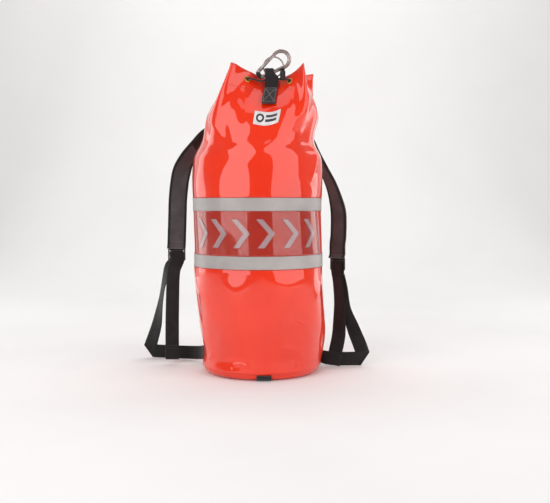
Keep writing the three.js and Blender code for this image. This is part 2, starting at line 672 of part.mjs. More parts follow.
function addStrap(strap) {
  const { side, pad, lock, turn } = strap;
  add(bag, `shoulder_pad_${side}`, strip(pad, PAD_WIDTH, 2.6, 40, -1.6), 'strap_face');
  add(bag, `shoulder_backing_${side}`, strip(pad, PAD_WIDTH, 1.2, 40, 0.9), 'black_webbing');
  const group = placed(bag, lock, [0, 0, turn]);
  add(group, `ladder_lock_${side}`, ladderLock(), 'black_plastic');
  add(group, `buckle_loop_${side}`, buckleLoop(pad[pad.length - 1][2] - lock[2]), 'black_webbing');
  add(bag, `lower_webbing_${side}`, lowerWebbing(strap), 'black_webbing');
}

function addAnchors() {
  const anchor = patch([22 / COLUMNS, 27 / COLUMNS], [483, 502, 521, 540], 0.5, 1.9, 5);
  add(bag, 'strap_anchor_patch', anchor, 'black_webbing');
  add(bag, 'base_anchor_left', patch([0.675, 0.72], [15, 30, 46], 1, 2, 3), 'black_webbing');
  add(bag, 'base_anchor_right', patch([0.285, 0.345], [15, 30, 46], 1, 2, 3), 'black_webbing');
}

addBody();
addEyelets();
addBase();
addBands();
addInsert();
addLabel();
addTab();
addHook();
addRing();
addCordLock();
addDrawcord();
addStrap(LEFT);
addStrap(RIGHT);
addAnchors();

export default bag;
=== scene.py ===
import math

import bmesh
import bpy
import numpy as np
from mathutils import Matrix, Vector


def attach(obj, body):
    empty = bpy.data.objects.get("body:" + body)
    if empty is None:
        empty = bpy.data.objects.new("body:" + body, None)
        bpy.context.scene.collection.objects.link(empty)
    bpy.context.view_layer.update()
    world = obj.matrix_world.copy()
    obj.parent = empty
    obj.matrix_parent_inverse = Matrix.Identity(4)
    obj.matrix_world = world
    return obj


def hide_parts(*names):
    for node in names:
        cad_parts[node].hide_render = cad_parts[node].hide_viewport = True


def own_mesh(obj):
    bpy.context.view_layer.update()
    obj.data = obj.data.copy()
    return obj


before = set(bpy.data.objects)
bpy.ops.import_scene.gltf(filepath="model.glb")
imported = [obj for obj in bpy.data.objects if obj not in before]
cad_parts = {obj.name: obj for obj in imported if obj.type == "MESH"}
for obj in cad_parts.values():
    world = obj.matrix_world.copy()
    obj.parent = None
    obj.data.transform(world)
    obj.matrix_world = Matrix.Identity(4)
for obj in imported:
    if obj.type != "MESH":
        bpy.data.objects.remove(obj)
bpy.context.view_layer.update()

# Looks for a throw rope bag. Metres, +Z up, -Y the front; the origin is the centre of the base's
# underside. The bag's surface repeats the CAD part's loft, finer and with the creases of stiff coated
# fabric. Shapes are written in millimetres, and become metres where a mesh is made.

MM = 0.001
GIRTH = 2 * math.pi * 0.135
FLAT_GIRTH = 848  # millimetres, for distances on the unrolled cloth
SEAM_LEVEL = 14
RIM_LEVEL = 637
WALL = 1.6
COLUMNS = 432
ROWS = 230
HEM_LEVEL = 590
HEM_FACES = (-WALL - 1.65, -WALL - 0.65)
WEBBING = 30
WEBBING_THICK = 1.6
PAD_WIDTH = 40

# Rings of the loft from the floor up: level, radius across, radius front to back, and shift to the
# right. Above them come two free forms, the shoulder as (x, y) and the rim as (x, y, z).
ROUND_RINGS = [
    (SEAM_LEVEL, 126, 126, -2), (45, 125, 125, 0), (100, 132, 132, -2), (135, 134, 134, -4),
    (185, 135.5, 135.5, -6), (255, 135.5, 135.5, -7.5), (351, 135.4, 135.4, -12.4),
    (445, 134, 134, -10.5), (483, 117.5, 123, -8.5),
]
SHOULDER_LEVEL = 540
SHOULDER_RING = [
    (5, -100), (50, -106), (90, -92), (112, -45), (117, 0), (115, 45), (97.5, 83), (50, 108),
    (0, 110), (-48, 106), (-92, 88), (-108, 45), (-109, 0), (-107, -45), (-90, -90), (-46, -104),
]
RIM_RING = [
    (13.5, -44, 607), (57, -60, 613), (83, -89.5, 631), (77, -42, 623),
    (62, 2, 617), (76, 44, 624), (106, 72, 635), (58, 64, 623),
    (14, 48, 617), (-30, 65, 623), (-74, 82, 637), (-54, 42, 623),
    (-40, 0, 617), (-52, -42, 623), (-58, -92, 631), (-25, -60, 618),
]


def add_object(name, data):
    made = bpy.data.objects.new(name, data)
    bpy.context.scene.collection.objects.link(made)
    return made


# Camera, in front of the bag, level with its middle and looking slightly down

def make_camera():
    data = bpy.data.cameras.new("camera")
    data.lens = 52.6
    data.sensor_width = 36
    data.clip_end = 20
    camera = add_object("camera", data)
    camera.location = (0.0265, -1.7, 0.351)
    camera.rotation_euler = (math.radians(90 - 3.35), 0, 0)
    bpy.context.scene.camera = camera


make_camera()


# The bag's surface

def closed_curve(points, u):
    """Points of a closed smooth curve through the ring's points, at shares u of the way round."""
    points = np.array(points, float)
    n = len(points)
    s = (u % 1.0) * n
    i = np.floor(s).astype(int)
    t = (s - i)[..., None]
    a, b, c, d = (points[(i + k) % n] for k in (-1, 0, 1, 2))
    square, cube = 2 * a - 5 * b + 4 * c - d, 3 * b - a - 3 * c + d
    return 0.5 * (2 * b + (c - a) * t + square * t**2 + cube * t**3)


def ring_points(k, u):
    if k < len(ROUND_RINGS):
        level, rx, ry, cx = ROUND_RINGS[k]
        angle = u * 2 * math.pi
        return np.stack([cx + rx * np.sin(angle), -ry * np.cos(angle), np.full_like(u, level)], -1)
    if k == len(ROUND_RINGS):
        return closed_curve([(x, y, SHOULDER_LEVEL) for x, y in SHOULDER_RING], u)
    return closed_curve(RIM_RING, u)


RING_LEVELS = np.array([ring[0] for ring in ROUND_RINGS] + [SHOULDER_LEVEL, RIM_LEVEL], float)


def loft(u, level):
    """The bag's smooth surface in millimetres, at shares of the girth and levels of equal shape."""
    u, level = np.broadcast_arrays(np.asarray(u, float), np.asarray(level, float))
    last = len(RING_LEVELS) - 1
    rings = [ring_points(k, u) for k in range(last + 1)]
    slopes = []
    for k in range(last + 1):
        low, high = max(k - 1, 0), min(k + 1, last)
        slopes.append((rings[high] - rings[low]) / (RING_LEVELS[high] - RING_LEVELS[low]))
    between = np.clip(np.searchsorted(RING_LEVELS, level, side="right") - 1, 0, last - 1)
    out = np.zeros(u.shape + (3,))
    for k in range(last):
        span = RING_LEVELS[k + 1] - RING_LEVELS[k]
        t = ((level - RING_LEVELS[k]) / span)[..., None]
        part = ((2 * t**3 - 3 * t**2 + 1) * rings[k] + (t**3 - 2 * t**2 + t) * slopes[k] * span
                + (3 * t**2 - 2 * t**3) * rings[k + 1] + (t**3 - t**2) * slopes[k + 1] * span)
        out = np.where((between == k)[..., None], part, out)
    return out


def loft_normal(u, level):
    low, high = np.maximum(level - 2, SEAM_LEVEL), np.minimum(level + 2, RIM_LEVEL)
    along = loft(u + 0.008, level) - loft(u - 0.008, level)
    up = loft(u, high) - loft(u, low)
    n = np.cross(along, up)
    return n / np.linalg.norm(n, axis=-1, keepdims=True)


def smooth(a, b, x):
    t = np.clip((x - a) / (b - a), 0, 1)
    return t * t * (3 - 2 * t)


# Where the facets of the cloth are centred, as (share of the girth, level)
CREASE_SEEDS = np.random.default_rng(11).random((72, 2)) * (1, 640)
FACET_BLEND = 7.0
FACET_DEPTH = 0.06
SEED_CORE = 8
INWARD = 2.4

# Folds and pinches: from and to as (share of the girth, level), then height and half width
FOLDS = [
    ((-0.200, 560), (-0.035, 420), 2.6, 13), ((-0.035, 420), (0.105, 508), 2.4, 12),
    ((0.105, 508), (0.150, 585), 1.8, 10), ((-0.105, 590), (-0.130, 500), 1.6, 9),
    ((0.060, 590), (0.075, 530), 1.4, 8), ((-0.070, 575), (-0.045, 520), -1.8, 10),
    ((0.185, 470), (0.150, 395), 2.0, 9), ((0.120, 400), (0.165, 372), 1.4, 7),
    ((-0.215, 215), (-0.165, 150), 1.8, 8), ((-0.235, 190), (-0.190, 120), -1.6, 7),
    ((-0.180, 110), (-0.205, 60), 1.3, 7), ((-0.150, 50), (-0.185, 34), 1.6, 5),
    ((0.200, 208), (0.150, 150), 1.5, 9), ((0.060, 120), (0.155, 84), 1.3, 8),
    ((0.045, 66), (0.120, 46), 1.7, 7), ((0.085, 44), (0.088, 20), -1.8, 6),
    ((-0.080, 30), (-0.020, 24), 1.2, 4), ((0.210, 120), (0.225, 50), 1.5, 8),
    ((0.330, 600), (0.300, 470), 2.2, 12), ((0.430, 590), (0.400, 500), -1.8, 10),
    ((0.600, 585), (0.640, 470), 2.2, 12), ((0.560, 420), (0.500, 330), 1.4, 12),
    ((0.400, 210), (0.560, 150), 1.5, 10), ((0.620, 190), (0.560, 90), 1.5, 9),
    ((0.360, 100), (0.440, 52), 1.4, 8), ((0.700, 400), (0.760, 370), 1.3, 8),
]


def share_from(u, centre):
    """How far round from a centre, as a share of the girth from -0.5 to 0.5."""
    return (u - centre + 0.5) % 1.0 - 0.5


def fold_ridges(u, level):
    total = np.zeros(u.shape)
    for (u0, l0), (u1, l1), height, half in FOLDS:
        du, dl = share_from(u, u0) * FLAT_GIRTH, level - l0
        run, rise = (u1 - u0) * FLAT_GIRTH, l1 - l0
        length = math.hypot(run, rise)
        along = (du * run + dl * rise) / length
        aside = (du * rise - dl * run) / length + 5 * np.sin(along / length * math.pi)
        ends = smooth(-half, length * 0.3, along) * (1 - smooth(length * 0.7, length + half, along))
        total += height * ends * np.exp(-(np.abs(aside) / half) ** 1.3)
    return total


def creases(u, level):
    """Millimetres in or out: flat facets that meet along soft ridges, as in stiff coated fabric."""
    total = np.zeros(u.shape)
    for seed_u, seed_level in CREASE_SEEDS:
        aside = share_from(u, seed_u) * FLAT_GIRTH
        away = np.sqrt(aside**2 + ((level - seed_level) * 0.8) ** 2 + SEED_CORE**2)
        total += np.exp(-away / FACET_BLEND)
    facets = -np.log(total + 1e-30) * FACET_BLEND
    # Calmer between the reflective bands, where the insert is welded on
    calm = 1 - 0.55 * smooth(215, 232, level) * (1 - smooth(355, 372, level))
    turn = 2 * math.pi
    waves = np.sin(turn * (5 * u + level / 410)) + 0.7 * np.sin(turn * (9 * u - level / 260 + 0.3))
    gathers = smooth(430, 560, level) * (1 - 0.6 * smooth(600, 637, level))
    folds = np.cos(turn * (16 * u + 0.12 * np.sin(level / 37))) * 1.3 * gathers
    pinches = fold_ridges(u, level) * calm
    return FACET_DEPTH * facets * calm - INWARD + 0.5 * waves + folds + pinches


# Where something is sewn on, as centre, half width, low and high: the tab and the upper strap anchor
SEWN_PATCHES = ((0.02, 0.03, 550, 700), (0.51, 0.06, 483, 540))


def held(u, level, centre, half, low, high):
    """1 over a sewn patch, falling to 0 round it."""
    beside = 1 - smooth(half, half + 0.035, np.abs(share_from(u, centre)))
    return beside * smooth(low - 25, low, level) * (1 - smooth(high, high + 25, level))


def skin(u, level, offset=0.0):
    """A place on the creased bag, in metres, standing off by offset millimetres."""
    u, level = np.broadcast_arrays(np.asarray(u, float), np.asarray(level, float))
    loose = smooth(SEAM_LEVEL, 50, level)
    for patch in SEWN_PATCHES:
        loose = loose * (1 - held(u, level, *patch))
    out = creases(u, level) * loose + offset
    return (loft(u, level) + loft_normal(u, level) * out[..., None]) * MM


# Mesh helpers

def new_mesh(name, points, faces, material, smooth_shaded=True, uvs=None):
    mesh = bpy.data.meshes.new(name)
    mesh.from_pydata([tuple(p) for p in points], [], [tuple(int(i) for i in f) for f in faces])
    if uvs is not None:
        layer = mesh.uv_layers.new(name="UVMap")
        loops = np.zeros(len(mesh.loops), int)
        mesh.loops.foreach_get("vertex_index", loops)
        layer.data.foreach_set("uv", np.asarray(uvs, float)[loops].ravel())
    mesh.materials.append(material)
    mesh.polygons.foreach_set("use_smooth", [smooth_shaded] * len(mesh.polygons))
    return add_object(name, mesh)


def put(piece, body, slot, *nodes):
    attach(piece, body)
    if nodes:
        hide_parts(*nodes)
    return piece


def grid_faces(rows, columns, closed_rows=False, closed_columns=False):
    i = np.arange(rows if closed_rows else rows - 1)
    j = np.arange(columns if closed_columns else columns - 1)
    i, j = (g.ravel() for g in np.meshgrid(i, j, indexing="ij"))
    ni, nj = (i + 1) % rows, (j + 1) % columns
    return np.stack([i * columns + j, ni * columns + j, ni * columns + nj, i * columns + nj], 1)


def closed_faces(rows, columns, looped=False, flip=False):
    """Faces round a section of so many columns, with the two ends closed unless it is a loop."""
    faces = grid_faces(rows, columns, looped, True).tolist()
    if not looped:
        faces += [list(range(columns))[::-1], list(range((rows - 1) * columns, rows * columns))]
    return [face[::-1] for face in faces] if flip else faces


def on_skin(name, u, level, offsets, material, looped=False):
    """A solid on the bag: each row of u, level and offsets goes once round its section."""
    points = skin(u, np.clip(level, SEAM_LEVEL, RIM_LEVEL), offsets)
    uvs = np.stack([u.ravel() * GIRTH, level.ravel() * MM], 1)
    return new_mesh(name, points.reshape(-1, 3), closed_faces(*u.shape, looped), material, uvs=uvs)


def shell(name, u, levels, inner, outer, material, looped=False):
    """A skin on the bag between two offsets, with its edges rounded over. u and levels are grids."""
    rounding = 0.3 * (outer - inner)
    top, bottom = levels[:, -1:] + rounding, levels[:, :1] - rounding
    profile_u = np.concatenate([u, u[:, -1:], u[:, ::-1], u[:, :1]], 1)
    profile_level = np.concatenate([levels, top, levels[:, ::-1], bottom], 1)
    n, middle = u.shape[1], (inner + outer) / 2
    offsets = np.concatenate([np.full(n, outer), [middle], np.full(n, inner), [middle]])
    return on_skin(name, profile_u, profile_level, offsets[None, :], material, looped)


def band(name, ends, levels, counts, inner, outer, material):
    """A shell between two shares of the girth and two levels."""
    around, up = np.linspace(*ends, counts[0]), np.linspace(*levels, counts[1])
    return shell(name, *np.meshgrid(around, up, indexing="ij"), inner, outer, material)


def full_band(name, levels, rows, inner, outer, material):
    """A shell all the way round the bag."""
    around, up = np.arange(COLUMNS) / COLUMNS, np.linspace(*levels, rows)
    return shell(name, *np.meshgrid(around, up, indexing="ij"), inner, outer, material, True)


def unit(v):
    v = np.asarray(v, float)
    return v / np.maximum(np.linalg.norm(v, axis=-1, keepdims=True), 1e-12)


def run_length(points):
    """How far along its line each point lies."""
    return np.concatenate([[0], np.cumsum(np.linalg.norm(np.diff(points, axis=0), axis=1))])


def sample(rows, length, at):
    """The rows' values where their line has come as far as at."""
    return np.stack([np.interp(at, length, column) for column in rows.T], -1)


def spline(points, count, knots=0.0):
    """Points spaced evenly along a smooth curve through the given ones; extra columns are carried.

    knots 0 spaces the curve's parameter evenly, and 0.5 by the root of each span, which never loops
    at a short span.
    """
    p = np.array(points, float)
    p = np.vstack([2 * p[0] - p[1], p, 2 * p[-1] - p[-2]])
    fine = []
    for k in range(1, len(p) - 2):
        a, b, c, d = p[k - 1:k + 3]
        spans = [np.linalg.norm((q - r)[:3]) ** knots for q, r in ((b, a), (c, b), (d, c))]
        t0, t1, t2, t3 = np.cumsum([0] + spans)
        t = np.linspace(t1, t2, 24, endpoint=False)[:, None]
        ab = ((t1 - t) * a + (t - t0) * b) / (t1 - t0)
        bc = ((t2 - t) * b + (t - t1) * c) / (t2 - t1)
        cd = ((t3 - t) * c + (t - t2) * d) / (t3 - t2)
        abc = ((t2 - t) * ab + (t - t0) * bc) / (t2 - t0)
        bcd = ((t3 - t) * bc + (t - t1) * cd) / (t3 - t1)
        fine.append(((t2 - t) * abc + (t - t1) * bcd) / (t2 - t1))
    fine = np.vstack(fine + [p[-2:-1]])
    length = run_length(fine[:, :3])
    return sample(fine, length, np.linspace(0, length[-1], count))


def ribbon(name, centres, across, normals, width, thickness, material, edge=0.45):
    """A flat woven strip in millimetres: a section with rounded edges along centres."""
    widths = np.broadcast_to(np.asarray(width, float), (len(centres),))
    x = np.linspace(-1, 1, 9)
    section = [(s, 1.0) for s in x] + [(1.0, 0.0)] + [(s, -1.0) for s in x[::-1]] + [(-1.0, 0.0)]
    points, uvs = [], []
    for c, a, n, w, v in zip(centres, across, normals, widths, run_length(centres)):
        for s, side in section:
            out = edge if side == 0.0 else 0.0
            bulge = 1.0 if abs(s) < 0.99 else 0.55
            sideways = s * (w / 2 - edge) + math.copysign(out, s)
            points.append(c + a * sideways + n * side * (thickness / 2) * bulge)
            uvs.append(((s + 1) / 2 * w * MM, v * MM))
    faces = closed_faces(len(centres), len(section), flip=True)
    return new_mesh(name, np.array(points) * MM, faces, material, uvs=uvs)


def strip_frames(route, count):
    """Centres, across and face directions along a route of [x, y, z, face x, y, z]."""
    p = spline(route, count)
    centres = p[:, :3]
    tangent = unit(np.gradient(centres, axis=0))
    faces = p[:, 3:6]
    faces = unit(faces - (faces * tangent).sum(1, keepdims=True) * tangent)
    return centres, unit(np.cross(faces, tangent)), faces


def tube(name, points, radius, material, sides=12, looped=False):
    """A round bar or cord along points in millimetres."""
    p = np.asarray(points, float)
    tangent = unit(np.roll(p, -1, 0) - np.roll(p, 1, 0) if looped else np.gradient(p, axis=0))
    side = unit(np.cross(tangent[0], (0.3, 0.5, 0.81)))
    verts, uvs = [], []
    angles = np.linspace(0, 2 * math.pi, sides, endpoint=False)
    for centre, ahead, length in zip(p, tangent, run_length(p)):
        side = unit(side - ahead * np.dot(side, ahead))
        other = np.cross(ahead, side)
        for a in angles:
            verts.append(centre + radius * (math.cos(a) * side + math.sin(a) * other))
            uvs.append((a * radius * MM, length * MM))
    faces = closed_faces(len(p), sides, looped, flip=True)
    return new_mesh(name, np.array(verts) * MM, faces, material, uvs=uvs)


def lathe(name, profile, material, sides, place, closed=False):
    """A turned piece from (radius, height) in millimetres; place maps its points to the bag."""
    angles = np.linspace(0, 2 * math.pi, sides, endpoint=False)
    verts = [(r * math.cos(a), r * math.sin(a), z) for a in angles for r, z in profile]
    verts = np.array([place(v) for v in np.array(verts)])
    faces = grid_faces(sides, len(profile), True, closed).tolist()
    return new_mesh(name, verts * MM, faces, material)


def join_meshes(name, parts, material):
    """One mesh from lists of (points, faces)."""
    points, faces, start = [], [], 0
    for p, f in parts:
        points.append(p)
        faces += [[i + start for i in face] for face in f]
        start += len(p)
    return new_mesh(name, np.vstack(points), faces, material)


BEAD_PROFILE = ((-1, 0), (-0.7, 0.8), (0, 1), (0.7, 0.8), (1, 0))
BEAD_SECTION = ((-1, 0), (-0.6, 0.8), (0.6, 0.8), (1, 0), (0, -0.5))


def stitches(name, path, normals, material, pitch=3.2, long=2.3, wide=0.55, high=0.35):
    """A row of sewn stitches, each a low rounded bead, along path in millimetres."""
    path = np.asarray(path, float)
    normals = np.broadcast_to(unit(normals), path.shape)
    length = run_length(path)
    parts = []
    for s in np.arange(pitch / 2, length[-1], pitch):
        at, n = sample(path, length, s), unit(sample(normals, length, s))
        ahead = sample(path, length, min(s + 0.5, length[-1]))
        t = unit(ahead - sample(path, length, max(s - 0.5, 0)))
        a = np.cross(n, t)
        points = []
        for x, r in BEAD_PROFILE:
            for y, z in BEAD_SECTION:
                aside, up = a * y * wide * max(r, 0.35), n * z * high * max(r, 0.2)
                points.append(at + t * x * long / 2 + aside + up)
        parts.append((np.array(points) * MM, closed_faces(5, 5)))
    return join_meshes(name, parts, material)


def sew(name, body, slot, path, normals, material, *sizes):
    return put(stitches(name, path, normals, material, *sizes), body, slot)


# Materials

def srgb(red, green, blue):
    """Linear colour of an sRGB one."""
    shares = [c / 255 for c in (red, green, blue)]
    return tuple(c / 12.92 if c < 0.04045 else ((c + 0.055) / 1.055) ** 2.4 for c in shares) + (1.0,)


class Material:
    """A Principled material with short calls for the nodes that feed it."""

    def __init__(self, name, roughness, **sockets):
        self.data = bpy.data.materials.new(name)
        self.data.use_nodes = True
        self.tree = self.data.node_tree
        self.shader = self.tree.nodes["Principled BSDF"]
        self.set("Roughness", roughness)
        for key, value in sockets.items():
            self.set(key.replace("_", " "), value)
        self.place = self.add("TexCoord").outputs
        self.normal = None

    def add(self, kind, inputs=(), **settings):
        made = self.tree.nodes.new("ShaderNode" + kind)
        for key, value in settings.items():
            setattr(made, key, value)
        for key, value in dict(inputs).items():
            self.feed(made.inputs[key], value)
        return made

    def feed(self, socket, value):
        if isinstance(value, bpy.types.NodeSocket):
            self.tree.links.new(value, socket)
        else:
            socket.default_value = value

    def set(self, key, value):
        self.feed(self.shader.inputs[key], value)

    def noise(self, scale, detail=3.0, stretch=(1, 1, 1)):
        mapped = self.add("Mapping", {"Vector": self.place["Object"], "Scale": stretch})
        made = self.add("TexNoise", {"Vector": mapped.outputs[0], "Scale": scale, "Detail": detail})
        return made.outputs[0]

    def ribs(self, pitch, angle=0.0, where="UV"):
        """Parallel ribs, pitch metres apart, turned by angle degrees from running up the piece."""
        turn = (0, 0, math.radians(angle))
        mapped = self.add("Mapping", {"Vector": self.place[where], "Rotation": turn})
        inputs = {"Vector": mapped.outputs[0], "Scale": math.pi / 10 / pitch}
        return self.add("TexWave", inputs, wave_type="BANDS", bands_direction="X").outputs["Fac"]

    def math(self, operation, a, b):
        return self.add("Math", {0: a, 1: b}, operation=operation).outputs[0]

    def crossed(self, pitch, angle, other_angle, other_pitch=None):
        """Two sets of ribs through each other."""
        first = self.ribs(pitch, angle)
        return self.math("MULTIPLY", first, self.ribs(other_pitch or pitch, other_angle))

    def level(self, value, low, high, to_low=0.0, to_high=1.0):
        inputs = {"Value": value, "From Min": low, "From Max": high}
        inputs.update({"To Min": to_low, "To Max": to_high})
        return self.add("MapRange", inputs).outputs[0]

    def mix(self, share, a, b):
        """From one sRGB colour to another."""
        made = self.add("Mix", data_type="RGBA")
        for socket, value in ((0, share), (6, srgb(*a)), (7, srgb(*b))):
            self.feed(made.inputs[socket], value)
        return made.outputs[2]

    def bump(self, height, distance, strength=1.0):
        inputs = {"Height": height, "Distance": distance, "Strength": strength}
        if self.normal is not None:
            inputs["Normal"] = self.normal
        self.normal = self.add("Bump", inputs).outputs[0]
        self.set("Normal", self.normal)

    def vary(self, base, other, scale, low=0.35, high=0.7, detail=3.0, stretch=(1, 1, 1)):
        """The colour drifts from base to other in patches."""
        share = self.level(self.noise(scale, detail, stretch), low, high)
        self.set("Base Color", self.mix(share, base, other))


def coated_fabric(name, light, dark, roughness):
    """PVC-coated cloth: a gloss over a faint weave, with crinkles, rubbed dull in patches."""
    m = Material(name, roughness, Coat_Weight=1.0, Coat_Roughness=0.035, Coat_IOR=1.63, IOR=1.35,
                 Specular_Tint=(1.0, 0.3, 0.2, 1.0))
    m.vary(light, dark, 9, 0.42, 0.75, 4)
    m.set("Roughness", m.level(m.noise(60, 5), 0.3, 0.8, roughness - 0.1, roughness + 0.1))
    m.bump(m.noise(13, 1.5, (1, 1, 0.55)), 0.006, 0.5)
    m.bump(m.crossed(0.0012, 0, 90), 0.00003, 0.25)
    return m.data


def webbing(name, colour, light, pitch=0.0016, depth=0.00035):
    """Woven webbing: ribs of yarn along it, crossed by weft, with paler worn yarn."""
    m = Material(name, 0.82, Specular_IOR_Level=0.3, Sheen_Weight=0.25, Sheen_Roughness=0.5)
    weave = m.crossed(pitch, 0, 90, pitch * 0.55)
    worn = m.level(m.noise(55, 5), 0.4, 0.85, 0.0, 0.6)
    yarn = m.math("MAXIMUM", m.level(weave, 0.55, 1.0, 0.0, 0.35), worn)
    m.set("Base Color", m.mix(yarn, colour, light))
    m.bump(weave, depth, 0.8)
    m.bump(m.noise(900, 2), 0.00008, 0.4)
    return m.data


def padded_face():
    m = Material("strap_face", 0.88, Specular_IOR_Level=0.25, Sheen_Weight=0.35, Sheen_Roughness=0.6)
    slant = m.crossed(0.0022, 45, -45)
    rubbed = m.level(m.noise(30, 5), 0.35, 0.75, 0.0, 0.7)
    share = m.math("MAXIMUM", m.level(slant, 0.2, 1.0, 0.0, 0.45), rubbed)
    m.set("Base Color", m.mix(share, (60, 57, 58), (93, 90, 91)))
    m.bump(slant, 0.0004, 0.8)
    return m.data


def reflective():
    m = Material("reflective_tape", 0.5, Coat_Weight=0.25, Coat_Roughness=0.3)
    m.vary((178, 171, 168), (158, 152, 150), 16, 0.35, 0.7, 4)
    cells = m.add("TexVoronoi", {"Vector": m.place["UV"], "Scale": 420.0}).outputs["Distance"]
    m.bump(cells, 0.00012, 0.5)
    m.bump(m.noise(24, 3, (1, 1, 0.5)), 0.0025, 0.4)
    return m.data


def clear_cover():
    m = Material("clear_vinyl", 0.09, Coat_Weight=1.0, Coat_Roughness=0.03, IOR=1.6, Alpha=0.05)
    # The cover's faint pink colour, in patches, is a painted sheen: a haze of gloss laid over the insert
    m.vary((214, 96, 84), (200, 84, 74), 14)
    m.bump(m.noise(19, 2, (1, 1, 0.5)), 0.005, 0.5)
    return m.data


def woven_label(name, colour, other):
    m = Material(name, 0.66, Sheen_Weight=0.2)
    m.vary(colour, other, 70, 0.3, 0.75, 5)
    m.bump(m.crossed(0.0007, 0, 90), 0.00012, 0.7)
    return m.data


def metal(name, colour, worn, roughness):
    m = Material(name, roughness, Metallic=1.0)
    m.vary(colour, worn, 260, 0.5, 0.8, 6)
    dull = m.level(m.noise(420, 5, (1, 1, 4)), 0.3, 0.75, roughness - 0.05, roughness + 0.2)
    m.set("Roughness", dull)
    m.bump(m.noise(300, 4, (1, 1, 5)), 0.00004, 0.4)
    return m.data


def moulded_plastic():
    m = Material("black_plastic", 0.42, Specular_IOR_Level=0.5)
    m.vary((24, 24, 26), (43, 42, 44), 180, 0.45, 0.8, 5)
    m.bump(m.noise(1500, 2), 0.00005, 0.5)
    m.set("Roughness", m.level(m.noise(240, 4), 0.3, 0.8, 0.34, 0.58))
    return m.data


def braided_cord():
    m = Material("cord_dark", 0.75, Sheen_Weight=0.3)
    braid = m.math("MAXIMUM", m.ribs(0.0019, 38), m.ribs(0.0019, -38))
    m.set("Base Color", m.mix(m.level(braid, 0.5, 1.0), (28, 18, 16), (66, 44, 38)))
    m.bump(braid, 0.0003, 0.9)
    return m.data


def fibre_board():
    m = Material("board", 0.9)
    m.vary((92, 86, 80), (66, 60, 55), 240, 0.35, 0.7, 6, (1, 1, 8))
    m.bump(m.noise(700, 3), 0.0002, 0.5)
    return m.data


def thread(name, colour, other):
    m = Material(f"thread_{name}", 0.7, Sheen_Weight=0.3)
    m.vary(colour, other, 500, 0.35, 0.7)
    m.bump(m.ribs(0.0005, 50, "Object"), 0.0001, 0.6)
    return m.data


RED = coated_fabric("red_pvc", (243, 50, 10), (232, 42, 10), 0.45)
RED_DEEP = coated_fabric("insert_red", (172, 34, 16), (158, 30, 16), 0.4)
BAND = reflective()
COVER = clear_cover()
MARK = coated_fabric("mark_grey", (168, 152, 156), (150, 136, 142), 0.4)
BLACK = webbing("black_webbing", (24, 22, 22), (44, 41, 41))
TAB_WEB = webbing("tab_webbing", (27, 20, 21), (46, 38, 39), 0.0022, 0.0005)
PAD = padded_face()
LABEL = woven_label("label_white", (236, 232, 231), (214, 209, 209))
LABEL_MARK = woven_label("label_mark", (48, 48, 56), (70, 70, 78))
BRASS = metal("brass", (202, 152, 74), (160, 112, 50), 0.26)
STEEL = metal("steel", (176, 161, 157), (122, 106, 102), 0.2)
PLASTIC = moulded_plastic()
CORD_DARK = braided_cord()
BOARD = fibre_board()
THREAD_RED = thread("red", (196, 50, 38), (168, 40, 30))
THREAD_DEEP = thread("deep", (176, 52, 44), (150, 40, 34))
THREAD_WHITE = thread("white", (206, 198, 196), (180, 172, 170))
THREAD_PALE = thread("pale", (168, 146, 148), (140, 120, 122))
THREAD_PAD = thread("pad", (112, 84, 84), (92, 70, 70))
THREAD_DARK = thread("dark", (24, 22, 23), (44, 40, 41))


# Bag body

EYELET_LEVEL = 616
EYELET_SHARES = (2 * np.arange(8) + 1) / 16
EYELET_CENTRES = skin(EYELET_SHARES, EYELET_LEVEL) / MM
EYELET_AXES = loft_normal(EYELET_SHARES, EYELET_LEVEL)
BARREL_HOLE = 5.6
BARREL_REACH = 9
WALL_STITCH = (4.0, 2.9)  # pitch and length, as in the others below
STRAP_STITCH = (2.8, 2.0)
PAD_STITCH = (3.6, 2.6)


def pierce(piece):
    """Takes out the cloth inside each eyelet's barrel."""
    mesh = piece.data
    centres = np.zeros(len(mesh.polygons) * 3)
    mesh.polygons.foreach_get("center", centres)
    centres = centres.reshape(-1, 3) / MM
    gone = np.zeros(len(centres), bool)
    for centre, axis in zip(EYELET_CENTRES, EYELET_AXES):
        away = centres - centre
        along = away @ axis
        radius = np.linalg.norm(away - along[:, None] * axis, axis=1)
        gone |= (radius < BARREL_HOLE) & (np.abs(along) < BARREL_REACH)
    cloth = bmesh.new()
    cloth.from_mesh(mesh)
    cloth.faces.ensure_lookup_table()
    bmesh.ops.delete(cloth, geom=[cloth.faces[int(i)] for i in np.flatnonzero(gone)], context="FACES")
    cloth.to_mesh(mesh)
    cloth.free()


def bag_line(level, offset, count=700, ends=(0.0, 1.0)):
    """A line round the bag at one level, with its normals, in millimetres."""
    u = np.linspace(*ends, count)
    return skin(u, level, offset) / MM, loft_normal(u, level)


def build_body():
    wall = full_band("bag_wall", (SEAM_LEVEL, RIM_LEVEL), ROWS, -WALL, 0.0, RED)
    hem = full_band("hem_facing", (HEM_LEVEL, RIM_LEVEL - 0.5), 18, *HEM_FACES, RED)
    for piece, node in ((wall, "body_wall"), (hem, "mouth_hem_facing")):
        put(piece, "root", "red_pvc", node)
        pierce(piece)
    for name, level in (("hem_stitches_low", HEM_LEVEL + 2.5), ("rim_stitches", RIM_LEVEL - 3.0)):
        sew(name, "root", "red_pvc", *bag_line(level, 0.1), THREAD_RED, *WALL_STITCH)
    strip = band("seam_strip", (0.492, 0.508), (45, 588), (8, 160), -WALL - 1.6, -WALL - 0.4, RED)
    put(strip, "root", "red_pvc", "back_seam_strip")
    levels = np.linspace(46, 585, 500)
    for k, share in enumerate((0.4945, 0.5055)):
        u = np.full(500, share)
        line = skin(u, levels, 0.1) / MM
        name = f"back_seam_stitches_{k + 1}"
        sew(name, "root", "red_pvc", line, loft_normal(u, levels), THREAD_RED, *WALL_STITCH)


BASE_CENTRE = -2
BASE_STITCH_RADIUS = 103
HANDLE_X = 4.5
HANDLE_WIDTH = 30
HANDLE_GROOVE = 2.3


